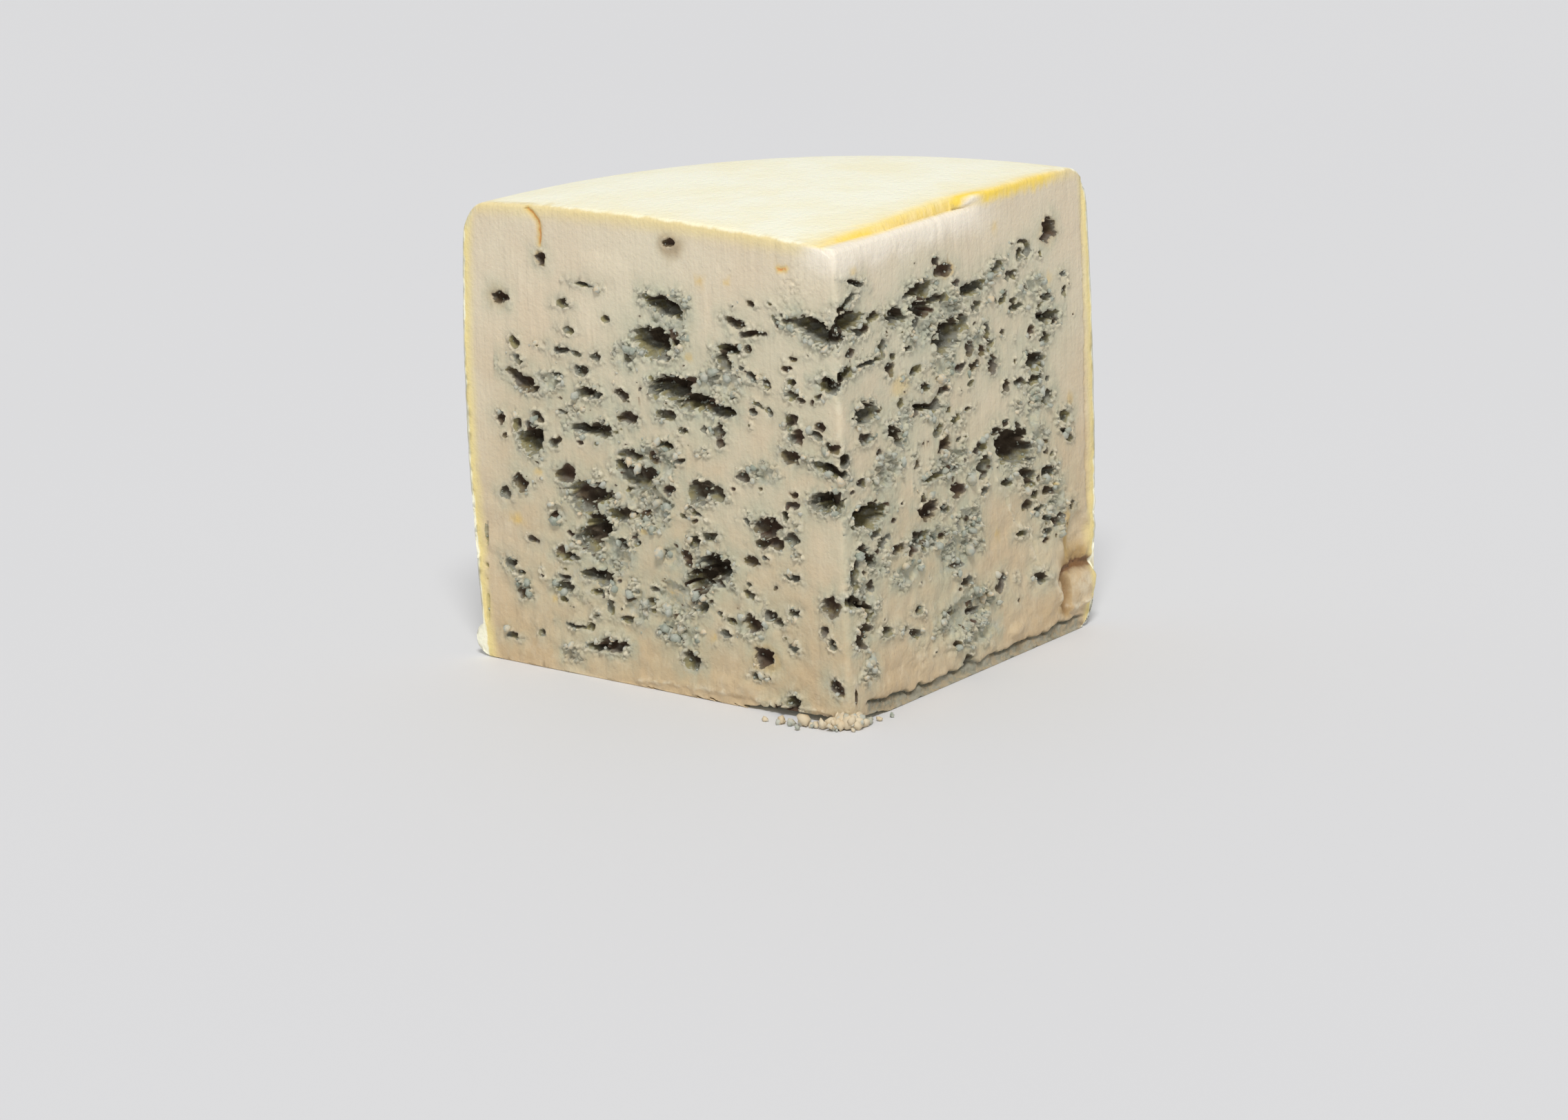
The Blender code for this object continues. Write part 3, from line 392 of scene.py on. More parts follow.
def vein_field(tau, z):
    """Depth and marks of the openings over the unfolded cuts.

    tau is the distance from the tip, negative on the left cut. An opening is an ellipse whose
    outline is bent by noise and bitten into by the grains of curd round it. Its rim is a step
    along that ragged outline, and the rest of its depth is a bowl of facets, D (1 - e^2)^0.5 at
    a share e of the smooth outline. The painted shade of its walls, a darkening of the colour
    that stands in for the shade inside the opening, has the same form and is greatest a little
    above the middle, under the overhanging rim. The mark named inner is 2 more than the distance
    inside the ragged rim, so that the material can draw the rim sharply. Crumbs, mould and a pale
    halo fade away from the rim, as does the proud ring just outside it, which the material pales
    as a painted highlight on the raised rim.
    """
    names = ("depth", "painted_shade", "inner", "mould", "brown", "crumb", "halo", "proud")
    field = {name: np.zeros(tau.shape) for name in names}
    bend_x = fractal(tau * 0.42, z * 0.42, 3)
    bend_z = fractal(tau * 0.42 + 40, z * 0.42, 5)
    curd = 0.62 * (0.45 - cell_noise(tau * 0.6 + bend_z * 0.4, z * 0.68, 81)[0])
    curd = curd + 0.12 * (0.45 - cell_noise(tau * 1.3, z * 1.4, 83)[0])
    facets = cell_noise(tau * 0.42 + 0.3 * bend_x, z * 0.46, 87)[0]
    patchy = smoothstep(-0.35, 0.25, fractal(tau * 0.4, z * 0.4, 9))
    for side, look, along, up, width, height, rise in all_openings():
        share, dark, mould, brown, crumb = LOOKS[look]
        width, height = width * GROWTH, height * GROWTH
        reach = 0.5 * max(width, height) + FADE_REACH
        near = np.nonzero((np.abs(side * tau - along) < reach) & (np.abs(z - up) < reach))
        if not len(near[0]):
            continue
        small = min(width, height)
        bend = 0.14 * small + 0.25
        ds = side * tau[near] - along + bend * 1.5 * bend_x[near]
        dz = z[near] - up + bend * bend_z[near]
        c, s = math.cos(math.radians(rise)), math.sin(math.radians(rise))
        p, q = 2 * (ds * c + dz * s) / width, 2 * (dz * c - ds * s) / height
        smooth = np.hypot(p, q)
        ragged = smooth + curd[near] * min(1.0, 2.6 / small + 0.3)
        away = (ragged - 1) * 0.5 * small
        within, away = np.clip(-away, 0, None), np.clip(away, 0, None)
        deep = min(share * math.sqrt(width * height), MOST_DEPTH)
        step = min(deep, RIM_STEP)
        bowl = (deep - step) * np.sqrt(np.clip(1 - smooth**2, 0, 1)) * (0.7 + 0.9 * facets[near])
        # Form of the painted shade: strongest a little above the middle, under the overhanging rim
        shade = np.sqrt(np.clip(1 - np.hypot(p + 0.12, q - 0.35) ** 2, 0, 1))
        size = 0.3 + 0.7 * min(1.0, width * height / 16)
        crumbly = np.exp(-((away / (0.5 + 0.8 * size)) ** 2)) * patchy[near]
        marks = {
            "depth": (step + bowl) * (1 - np.exp(-within / 0.2)),
            "painted_shade": (0.7 * deep + 4.6 * dark) * shade * (0.55 + 0.9 * facets[near]),
            "inner": np.clip(2 + within - away, 0, 4) * (dark > 0),
            "mould": mould * size * np.exp(-((away / (0.3 + 0.5 * size)) ** 2)),
            "brown": brown * smoothstep(1.25, 0.8, ragged),
            "crumb": crumb * crumbly * (0.4 + 0.6 * size),
            "halo": np.exp(-((away / (1.3 + 1.6 * size)) ** 2)) * size,
            "proud": np.exp(-(((away - 0.25) / 0.3) ** 2)) * (ragged > 1) * patchy[near],
        }
        for name, values in marks.items():
            field[name][near] = np.maximum(field[name][near], values)
    field["crumb"] *= smoothstep(2.2, 0.6, field["depth"])
    return field


def all_openings():
    """Every opening as side, look, distance from the tip, height, width, own height and rise."""
    found = [(side, look, *row) for side, looks in ((-1, LEFT), (1, RIGHT))
             for look, rows in looks.items() for row in rows]
    return found + small_pits()


def small_pits():
    """Seeded small pits, most of them where the clouds of mould are."""
    rng = np.random.default_rng(41)
    pits = []
    for side, along, up, wide, high, strength in CLOUDS:
        for _ in range(int(SMALL_PITS * strength / len(CLOUDS))):
            s, z = along + wide * rng.normal(0, 0.48), up + high * rng.normal(0, 0.48)
            width = 0.5 + 2.4 * rng.random() ** 2.4
            height = width * rng.uniform(0.45, 0.95)
            look = ("olive", "crumbly", "grey", "brown")[rng.choice(4, p=(0.42, 0.25, 0.2, 0.13))]
            rise = rng.uniform(-25, 25)
            if 1.5 < s < 92 and 1 < z < 93:
                pits.append((side, look, s, z, width, height, rise))
    return pits


def blobs(tau, z, rows, edge=0.35):
    """Soft-edged ellipses with noisy outlines; each row gives side, place, radii and strength."""
    total = np.zeros(tau.shape)
    bend = fractal(tau * 0.3, z * 0.3, 21)
    for side, along, up, wide, high, strength in rows:
        e = np.hypot((side * tau - along) / wide, (z - up) / high) + 0.3 * bend
        total = np.maximum(total, strength * smoothstep(1 + edge, 1 - edge, e))
    return total


def line_distance(x, y, corners):
    """Distance from each point to the nearest of the straight stretches between the corners."""
    least = np.full(x.shape, 1e9)
    for (ax, ay), (bx, by) in zip(corners, corners[1:]):
        dx, dy = bx - ax, by - ay
        t = np.clip(((x - ax) * dx + (y - ay) * dy) / (dx * dx + dy * dy), 0, 1)
        least = np.minimum(least, np.hypot(x - ax - t * dx, y - ay - t * dy))
    return least


def lines_and_bulges(tau, z, field):
    """Depth of the lines and the swellings, and the marks of the lines."""
    depth = np.zeros(tau.shape)
    bend = 0.5 * fractal(tau * 0.6, z * 0.6, 71)
    for side, half, deep, marks, corners in LINES:
        near = np.nonzero(side * tau > 0)
        d = line_distance(side * tau[near] + bend[near], z[near] + bend[near], corners)
        line = np.exp(-((d / half) ** 2))
        depth[near] += deep * line
        for name, strength in marks.items():
            field[name][near] = np.maximum(field[name][near], strength * line)
    for side, along, up, wide, high, rise in BULGES:
        e = np.hypot(2 * (side * tau - along) / wide, 2 * (z - up) / high) + 0.15 * bend
        depth -= rise * np.clip(1 - e**2, 0, 1) ** 0.8
    return depth


def steps_between(knots, values, t):
    """Straight stretches between the knots of t; each value is a row with a number per column."""
    found = np.broadcast_to(values[0], t.shape).copy()
    for k in range(len(knots) - 1):
        w = np.clip((t - knots[k]) / (knots[k + 1] - knots[k]), 0, 1)
        found = np.where(t >= knots[k], values[k] * (1 - w) + values[k + 1] * w, found)
    return found


def outline(part, u, inset_left, inset_right, radius):
    """Points of the plan: u runs along each cut from the tip, and back along the rim.

    The tip is rounded by a parabola: V + k (along_left (1 - t)^2 + along_right t^2).
    """
    points = np.zeros(radius.shape + (2,))
    part = np.broadcast_to(part, radius.shape)
    ends = []
    for side, inset, other in ((-1, inset_left, inset_right), (1, inset_right, inset_left)):
        start, end = cut_start(inset, other), cut_end(side, inset, radius)
        base = -inset[..., None] * OUTWARD[side]
        away = u * (end - start)
        straight = base + (start + away)[..., None] * ALONG[side]
        t = (0.5 + 0.5 * side * np.clip(away / TIP_ROUND, 0, 1))[..., None]
        bend = (1 - t) ** 2 * ALONG[-1] + t**2 * ALONG[1]
        curved = base + start[..., None] * ALONG[side] + TIP_ROUND * bend
        chosen = np.where((away < TIP_ROUND)[..., None], curved, straight)
        points = np.where((part == side)[..., None], chosen, points)
        corner = base + end[..., None] * ALONG[side] - WHEEL_AXIS
        ends.append(np.arctan2(corner[..., 0], corner[..., 1]))
    angle = ends[1] * (1 - u) + ends[0] * u
    rim = WHEEL_AXIS + radius[..., None] * np.stack([np.sin(angle), np.cos(angle)], -1)
    return np.where((part == 0)[..., None], rim, points)


def wedge_walls(step):
    """Levels of the outline from the foot to the top, before the openings are pressed in.

    Columns run down the left cut to the tip, up the right cut, and back along the rim. The
    cuts and the rim move in by quarter ellipses at the foot and the top. Along the top of the
    right cut the rind stands back on a rounded shoulder of paste.
    """
    n_left, n_right = round(LEFT_SPAN / step), round(RIGHT_SPAN / step)
    n_rim = round(RIM_SPAN / step**0.6)
    v = np.linspace(0, 1, n_rim + 2)[1:-1]
    v = v - 0.8 * np.sin(2 * math.pi * v) / (2 * math.pi)
    part = np.concatenate([np.full(n_left, -1), np.full(n_right + 1, 1), np.zeros(n_rim, int)])
    u = np.concatenate([np.linspace(1, 0, n_left, endpoint=False), np.linspace(0, 1, n_right + 1), v])
    plain = np.zeros(u.shape)
    plan = outline(part, u, plain, plain, np.full(u.shape, WHEEL_RADIUS))
    top, base = dome(plan), bottom_height(plan)
    s = np.hypot(*plan.T)
    chips = np.clip(fractal(part * s * 0.4, s * 0.4, 91), 0, 1)
    chipped = np.where(part < 0, 1.1 * smoothstep(64, 50, s), 0.5 * (part > 0))
    base = base + chips * chipped * smoothstep(0.0, 3.0, s)
    rim_top = np.where(part == 0, top, np.where(part < 0, top[0], top[n_left + n_right]))
    arc = np.where(part == 0, np.linalg.norm(plan - plan[0], axis=-1), np.where(part < 0, 0, 999))

    n_foot, n_side, n_top = round(FOOT_SPAN / step) + 3, round(WALL_SPAN / step), round(TOP_SPAN / step) + 8
    quarter = np.linspace(0, 0.5 * math.pi, n_foot, endpoint=False)[:, None]
    high = top - RIM_TOP_DROP
    rise = np.linspace(0, 1, n_side, endpoint=False)[:, None]
    t_top = np.linspace(0, 1, n_top)[:, None] + plain
    z = np.concatenate([
        base + RIM_FOOT_ROUND * (1 - np.cos(quarter)),
        (base + RIM_FOOT_ROUND) * (1 - rise) + high * rise,
        high + RIM_TOP_DROP * np.sin(0.5 * math.pi * t_top),
    ])
    t = np.concatenate([np.zeros((n_foot + n_side, len(u))), t_top])
    radius = rim_radius(z, rim_top, arc)
    above = np.clip((z - (top - CUT_TOP_ROUND)) / CUT_TOP_ROUND, 0, 1)
    below = np.clip(1 - (z - base) / CUT_FOOT_ROUND, 0, 1)
    inset = CUT_TOP_ROUND * (1 - np.sqrt(1 - above**2)) + CUT_FOOT_ROUND * (1 - np.sqrt(1 - below**2))

    back = np.where(part > 0, ledge_depth(s), 0.0)
    share = smoothstep(0.1, 1.2, back)
    share = share * (t > 0)
    shelf = np.minimum(SHELF_HEIGHT, top - 0.3)
    levels = (high, shelf - 2.4, shelf - 1.0, shelf - 0.25, shelf, shelf + 0.1, top)
    depths = (plain, plain, plain + 0.25, plain + 0.9, np.minimum(back, SHELF_DEPTH), back, back + 0.6)
    z = z * (1 - share) + steps_between(SHELF_BENDS, levels, t) * share
    inset = inset * (1 - share) + steps_between(SHELF_BENDS, depths, t) * share

    tip_l, tip_r, last = n_left - 1, n_left, n_left + n_right
    inset_left = np.where(part < 0, inset, np.where(part > 0, inset[:, [tip_l]], inset[:, [0]]))
    inset_right = np.where(part > 0, inset, np.where(part < 0, inset[:, [tip_r]], inset[:, [last]]))
    plan = outline(part, u, inset_left, inset_right, radius)
    return part, plan, z, base


def paste_relief(tau, h, field):
    """Depth of the openings with the relief of the paste round them, and its marks.

    The relief is grains of crumb in two sizes, long waves, marks that the knife has drawn up and
    down, soft curds low on the cuts, and scraps in the torn places. Each is noise on the unfolded
    cut times the area where it shows.
    """
    first, second = cell_noise(tau * 0.85, h * 0.95, 31)
    finer = cell_noise(tau * 1.8, h * 1.9, 35)[0]
    crumbs = field["crumb"] * (first - 0.6 + 0.65 * (finer - 0.45))
    wave = 0.16 * fractal(tau * 0.07, h * 0.07, 51) + 0.09 * fractal(tau * 0.4, h * 0.35, 55)
    drawn = smoothstep(-0.3, 0.5, fractal(tau * 0.05, h * 0.04, 59, 2))
    streaks = 0.18 * fractal(tau * 0.9, h * 0.06, 57) * drawn
    curds = cell_noise(tau * 0.22 + 0.5 * fractal(tau * 0.2, h * 0.2, 63, 2), h * 0.26, 61)[0]
    curds = curds * smoothstep(56, 16, h) * smoothstep(-0.6, 0.1, fractal(tau * 0.06, h * 0.07, 65, 2))
    lips = 0.24 * field["proud"] * (field["depth"] < 0.2)
    torn = blobs(tau, h, TORN, 0.6) * smoothstep(0.3, 0.0, field["depth"])
    scrap = torn * smoothstep(-0.3, 0.15, fractal(tau * 0.35, h * 0.3, 67))
    field["proud"] = np.maximum(field["proud"], 0.8 * scrap * smoothstep(0.55, 0.3, first))
    # Painted shade in the gaps between the grains of crumb
    field["crevice_shade"] = field["crumb"] * smoothstep(0.3, 0.06, second - first)
    depth = field["depth"] + 1.8 * crumbs - lips + wave + streaks
    return depth + 0.8 * curds + 0.75 * scrap * (first - 0.6 + 0.5 * (finer - 0.45))


def press_in(part, plan, z, base):
    """Moves the points of the cuts inwards by the depth of the openings and the fine relief.

    The way in is square to the cut, and turns to the middle line within 7 mm of the tip, so
    that the two cuts don't meet inside.
    """
    cut = part != 0
    side = part[cut]
    p, h = plan[:, cut], z[:, cut]
    along = np.where(side < 0, p @ ALONG[-1], p @ ALONG[1])
    tau = side * np.clip(along, 0, None)
    field = vein_field(tau, h)
    places = [(*row[:3], row[3] / 2, row[4] / 2) for row in STAINS]
    yellow, brown = ([(*place, row[i]) for place, row in zip(places, STAINS)] for i in (5, 6))
    field["yellow"] = blobs(tau, h, yellow)
    field["brown"] = np.maximum(field["brown"], blobs(tau, h, brown))
    field["cloud"] = blobs(tau, h, CLOUDS, 0.75)
    depth = paste_relief(tau, h, field)
    depth = depth + foot_relief(tau, h - base[cut], field) + lines_and_bulges(tau, h, field)
    # Painted highlight along the tip's edge: the paste is paled there in patches
    edges = np.exp(-(((np.abs(tau) - 0.2) / 0.9) ** 2)) * smoothstep(8, 20, h)
    highlight_patches = smoothstep(-0.4, 0.3, fractal(tau * 0.3, h * 0.12, 75))
    field["proud"] = np.maximum(field["proud"], 0.9 * edges * highlight_patches)
    ragged = 1.5 * fractal(tau * 0.3, h * 0.3, 73)
    field["white"] = smoothstep(91, 96.5, h + ragged) * smoothstep(-11, -5, tau) * smoothstep(64, 44, tau)
    ease = smoothstep(7.0, 0.5, along)[..., None]
    square = -np.where((side < 0)[:, None], OUTWARD[-1], OUTWARD[1])
    inward = square * (1 - ease) + np.array([0.0, 1.0]) * ease
    inward = inward / np.linalg.norm(inward, axis=-1, keepdims=True)
    fade = smoothstep(0.0, 0.5, h - base[cut])
    plan[:, cut] = p + inward * (depth * fade)[..., None]
    del field["depth"]
    marks = {name: np.zeros(z.shape) for name in field}
    for name, values in field.items():
        marks[name][:, cut] = values
    return marks


def gold_edges(plan, z):
    """The yellow edges of the top rind: strong over the right cut, faint over the left one.

    They fade with the distance from the foot of the rind, and more slowly near the tip.
    """
    s = np.hypot(plan[..., 0], plan[..., 1])
    right = -plan @ OUTWARD[1] - ledge_depth(s)
    left = -plan @ OUTWARD[-1]
    fade = 1.4 + 3.5 * np.exp(-s / 12)
    strong = np.exp(-(np.clip(right, 0, None) / fade)) * smoothstep(-1.2, -0.3, right)
    strong = strong * smoothstep(97.9, 98.6, z) * smoothstep(88, 74, s)
    faint = 0.15 * np.exp(-np.clip(left, 0, None) / 2.6) * smoothstep(-5.0, -1.0, z - dome(plan))
    faint = faint * smoothstep(2.0, 22.0, s)
    return np.maximum(strong, faint)


def foot_relief(tau, h, field):
    """The strip that stands back along the foot of the right cut, with a ragged dark crack over
    it, and the fold by the rind at the foot of the left cut. The strip and the crack get mould
    and painted shade, which stands in for the shade in the recess and the crack."""
    level = 2.3 + 0.9 * fractal(tau * 0.35, tau * 0 + 3, 61)
    on = smoothstep(5, 9, tau) * smoothstep(91, 84, tau)
    strip = 0.8 * on * smoothstep(level + 0.25, level - 0.1, h)
    broken = smoothstep(-0.25, 0.25, fractal(tau * 0.2, tau * 0, 65, 2) + 0.1)
    crack = on * np.exp(-(((h - level) / 0.36) ** 2)) * (0.35 + 0.65 * broken)
    left = np.exp(-(((tau + 98.6 + 0.03 * (30 - h)) / 0.4) ** 2))
    left = left * smoothstep(31, 27, h) * smoothstep(7, 9, h)
    left = left * smoothstep(-0.2, 0.2, fractal(h * 0.5, h * 0 + 9, 67, 2) + 0.15)
    # The set-back strip gets mould and painted shade; the crack gets painted shade as well
    dark = smoothstep(0.2, 0.6, strip)
    marks = {
        "inner": 2.3 * smoothstep(0.0, 0.13, 0.14 * crack * broken + 0.55 * left),
        "mould": 0.8 * dark + 0.3 * crack + 0.4 * left,
        "crevice_shade": 0.75 * dark + crack,
        "brown": 0.35 * crack + 0.4 * left,
    }
    for name, values in marks.items():
        field[name] = np.maximum(field[name], values)
    return strip + 0.9 * crack + 0.8 * left


def cheese_surface(step):
    """The closed wedge: points, quads and triangles, and its marks.

    Rows of the caps shrink from the outline to a middle point of the plan.
    """
    part, plan, z, base = wedge_walls(step)
    marks = press_in(part, plan, z, base)
    n_cap = max(12, round(CAP_SPAN / step**0.7))
    shrink = (1 - (np.arange(1, n_cap + 1) / (n_cap + 1)) ** 1.6)[:, None, None]
    foot = CENTRE + (plan[0] - CENTRE) * shrink
    head = CENTRE + (plan[-1] - CENTRE) * shrink
    z_foot = bottom_height(foot) + (z[0] - bottom_height(plan[0])) * shrink[..., 0] ** 6
    z_head = dome(head) + (z[-1] - dome(plan[-1])) * shrink[..., 0] ** 8
    plan = np.concatenate([foot[::-1], plan, head])
    z = np.concatenate([z_foot[::-1], z, z_head])
    rows, columns = z.shape
    points = np.concatenate([
        np.dstack([plan, z[..., None]]).reshape(-1, 3),
        [[*CENTRE, bottom_height(CENTRE)], [*CENTRE, dome(CENTRE)]],
    ])
    i = np.arange(rows * columns).reshape(rows, columns)
    j = np.roll(i, -1, axis=1)
    quads = np.stack([i[:-1], j[:-1], j[1:], i[1:]], -1).reshape(-1, 4)
    low_fan = np.stack([j[0], i[0], np.full(columns, rows * columns)], -1)
    high_fan = np.stack([i[-1], j[-1], np.full(columns, rows * columns + 1)], -1)
    pad = np.zeros((n_cap, columns))
    for name, values in marks.items():
        marks[name] = np.append(np.concatenate([pad, values, pad]).ravel(), [0, 0])
    marks["gold"] = np.append(gold_edges(plan, z).ravel(), [0, 0])
    rind = np.ones(z.shape)
    rind[n_cap:-n_cap, part != 0] = 0
    marks["rind"] = np.append(rind.ravel(), [1, 1])
    return points, quads, np.concatenate([low_fan, high_fan]), marks


# Meshes and materials

def to_metres(points):
    """From millimetres at the tip to metres in the part's frame."""
    return (points + np.array([TIP[0], TIP[1], 0.0])) * MM


def mesh_object(name, points, faces, marks=None):
    """A smooth mesh object at the origin, from points in metres and lists of faces."""
    mesh = bpy.data.meshes.new(name)
    sizes = np.concatenate([np.full(len(f), f.shape[1]) for f in faces])
    corners = np.concatenate([f.ravel() for f in faces])
    mesh.vertices.add(len(points))
    mesh.vertices.foreach_set("co", points.astype(np.float32).ravel())
    mesh.loops.add(len(corners))
    mesh.loops.foreach_set("vertex_index", corners.astype(np.int32))
    mesh.polygons.add(len(sizes))
    mesh.polygons.foreach_set("loop_start", (np.cumsum(sizes) - sizes).astype(np.int32))
    mesh.update(calc_edges=True)
    for mark, values in (marks or {}).items():
        layer = mesh.attributes.new(mark, "FLOAT", "POINT")
        layer.data.foreach_set("value", values.astype(np.float32))
    mesh.polygons.foreach_set("use_smooth", np.ones(len(sizes), bool))
    mesh.validate()
    obj = bpy.data.objects.new(name, mesh)
    bpy.context.scene.collection.objects.link(obj)
    return obj


def thin_out(obj, most):
    """Applies a Decimate modifier that leaves at most that many triangles, none below the ground."""
    obj.data.calc_loop_triangles()
    count = len(obj.data.loop_triangles)
    if count <= most:
        return
    thin = obj.modifiers.new("thin out", "DECIMATE")
    thin.ratio = most / count
    evaluated = obj.evaluated_get(bpy.context.evaluated_depsgraph_get())
    mesh = bpy.data.meshes.new_from_object(evaluated)
    old = obj.data
    obj.modifiers.clear()
    points = np.empty(len(mesh.vertices) * 3, np.float32)
    mesh.vertices.foreach_get("co", points)
    points[2::3] = np.maximum(points[2::3], 0.0)
    mesh.vertices.foreach_set("co", points)
    obj.data = mesh
    mesh.name = obj.name
    bpy.data.meshes.remove(old)


def linear(screen):
    """A screen colour from 0 to 1 as Blender's linear colour with alpha 1."""
    c = np.array(screen)
    c = np.where(c <= 0.04045, c / 12.92, ((c + 0.055) / 1.055) ** 2.4)
    return (*(float(v) for v in c), 1.0)


class Nodes:
    """Adds nodes to a tree; its patterns lie on the coordinates given as where."""

    def __init__(self, tree, where=None):
        self.tree = tree
        self.where = where

    def add(self, kind, inputs=None, **settings):
        """A node, with its inputs given by name or index."""
        node = self.tree.nodes.new(kind)
        for key, value in settings.items():
            setattr(node, key, value)
        for key, value in (inputs or {}).items():
            socket = node.inputs[key]
            if isinstance(value, bpy.types.NodeSocket):
                self.tree.links.new(value, socket)
            else:
                socket.default_value = value
        return node

    def math(self, operation, a, b=0.0, c=0.0, clamp=False):
        node = self.add("ShaderNodeMath", {0: a, 1: b, 2: c}, operation=operation, use_clamp=clamp)
        return node.outputs[0]

    def plus(self, a, b):
        return self.math("ADD", a, b)

    def times(self, a, b, clamp=False):
        return self.math("MULTIPLY", a, b, clamp=clamp)

    def vector(self, operation, a, b=(0.0, 0.0, 0.0)):
        return self.add("ShaderNodeVectorMath", {0: a, 1: b}, operation=operation).outputs

    def mix(self, share, a, b):
        """Colour a with a share of colour b laid over it."""
        return self.add("ShaderNodeMix", {0: share, 6: a, 7: b}, data_type="RGBA").outputs[2]

    def tint(self, base, share, strength, color):
        """A screen colour laid over the base, by its share times its strength."""
        return self.mix(self.times(share, strength, clamp=True), base, linear(color))

    def ramp(self, value, low, high, to_low=0.0, to_high=1.0):
        """A smooth step of value from low to high."""
        node = self.add("ShaderNodeMapRange", {0: value, 1: low, 2: high, 3: to_low, 4: to_high},
                        interpolation_type="SMOOTHSTEP")
        return node.outputs[0]

    def noise(self, scale, detail=3.0, rough=0.55, where=None):
        inputs = {"Vector": where or self.where, "Scale": scale, "Detail": detail, "Roughness": rough}
        return self.add("ShaderNodeTexNoise", inputs).outputs["Fac"]

    def patches(self, scale, low, high, detail=3.0, rough=0.55, least=0.0, most=1.0):
        """Patches of noise, with smooth edges where it passes from low to high."""
        return self.ramp(self.noise(scale, detail, rough), low, high, least, most)

    def mark(self, name):
        """A mark that the mesh carries as an attribute."""
        return self.add("ShaderNodeAttribute", attribute_name=name).outputs["Fac"]


def new_group(name, inputs, outputs):
    """A shader node group with named sockets, each given as (name, type, default)."""
    tree = bpy.data.node_groups.new(name, "ShaderNodeTree")
    for label, kind, value in inputs:
        socket = tree.interface.new_socket(name=label, in_out="INPUT", socket_type=kind)
        if value is not None:
            socket.default_value = value
    for label, kind in outputs:
        tree.interface.new_socket(name=label, in_out="OUTPUT", socket_type=kind)
    given, out = tree.nodes.new("NodeGroupInput").outputs, tree.nodes.new("NodeGroupOutput").inputs
    return tree, Nodes(tree, given["Where"]), given, out


def mould_group():
    """Blue-green mould: its colour, speckled from pale grey to slate, and its height."""
    tree, n, given, out = new_group(
        "mould",
        [("Where", "NodeSocketVector", None), ("Pale", "NodeSocketColor", linear((0.74, 0.74, 0.69))),
         ("Deep", "NodeSocketColor", linear((0.56, 0.59, 0.53)))],
        [("Color", "NodeSocketColor"), ("Height", "NodeSocketFloat")])
    fine = n.noise(900.0, 4.0, 0.65)
    blend = n.ramp(n.plus(n.times(fine, 0.6), n.times(n.noise(220.0), 0.6)), 0.42, 0.78)
    tree.links.new(n.mix(blend, given["Deep"], given["Pale"]), out["Color"])
    tree.links.new(fine, out["Height"])
    return tree


def new_material(name, roughness):
    """A material with a Principled shader, and patterns on Object coordinates."""
    material = bpy.data.materials.new(name)
    material.use_nodes = True
    tree = material.node_tree
    tree.nodes.clear()
    n = Nodes(tree)
    n.where = n.add("ShaderNodeTexCoord").outputs["Object"]
    shader = n.add("ShaderNodeBsdfPrincipled", {"Roughness": roughness})
    n.add("ShaderNodeOutputMaterial", {"Surface": shader.outputs[0]})
    return material, n, shader


def under_rind(n):
    """Millimetres inside the rim and under the top, the height, and how deep under both.

    The rim is the barrel with its bulge and the top is the dome. The corner between them is
    round, so the depth under both is R less the root of (R - a)^2 + (R - b)^2, of what is left
    above 0.
    """
    def from_middle(middle):
        moved = n.vector("ADD", n.where, (*(-(TIP + middle) * MM), 0.0))[0]
        xyz = n.add("ShaderNodeSeparateXYZ", {0: moved}).outputs
        flat = n.add("ShaderNodeCombineXYZ", {0: xyz[0], 1: xyz[1]}).outputs[0]
        return n.vector("LENGTH", flat)["Value"], xyz[2]

    from_axis, z = from_middle(WHEEL_AXIS)
    from_apex = from_middle(DOME_APEX)[0]
    drop = n.math("DIVIDE", n.times(from_apex, from_apex), 2 * DOME_RADIUS * MM)
    top = n.math("SUBTRACT", DOME_HEIGHT * MM, drop)
    level = n.math("MULTIPLY_ADD", z, 2 / (WHEEL_HEIGHT * MM), -1.0)
    wall = n.math("MULTIPLY_ADD", n.times(level, level), -BULGE * MM, WHEEL_RADIUS * MM)
    in_rim = n.times(n.math("SUBTRACT", wall, from_axis), 1 / MM)
    under_top = n.times(n.math("SUBTRACT", top, z), 1 / MM)
    a, b = (n.math("MAXIMUM", n.math("SUBTRACT", SKIN_ROUND, d), 0.0) for d in (in_rim, under_top))
    corner = n.math("SQRT", n.plus(n.times(a, a), n.times(b, b)))
    return in_rim, under_top, n.ramp(z, 0.0, 0.1), n.math("SUBTRACT", SKIN_ROUND, corner)


def plain_paste(n, look, height, fine):
    """Ivory paste, paler towards the top and in patches, with clouds, halos and stains."""
    paste = n.mix(height, linear(look.paste_low), linear(look.paste_high))
    pale = n.patches(45.0, 0.35, 0.7, most=0.8)
    paste = n.tint(paste, pale, n.math("MULTIPLY_ADD", height, 0.75, 0.25), look.paste_pale)
    paste = n.tint(paste, n.ramp(fine, 0.45, 0.75), 0.25, look.paste_pale)
    cloud = n.times(n.mark("cloud"), n.patches(130.0, 0.3, 0.7, 4.0, 0.6, 0.3))
    paste = n.tint(paste, cloud, 0.6, look.halo)
    halo = n.times(n.mark("halo"), n.patches(330.0, 0.3, 0.65, 4.0, 0.6, 0.3))
    paste = n.tint(paste, halo, 0.6, look.halo)
    stain = n.mix(n.ramp(n.mark("yellow"), 0.7, 0.95), linear(look.stain), linear(look.rust))
    paste = n.mix(n.times(n.mark("yellow"), 0.9, clamp=True), paste, stain)
    return n.tint(paste, n.mark("brown"), 0.75, look.brown)


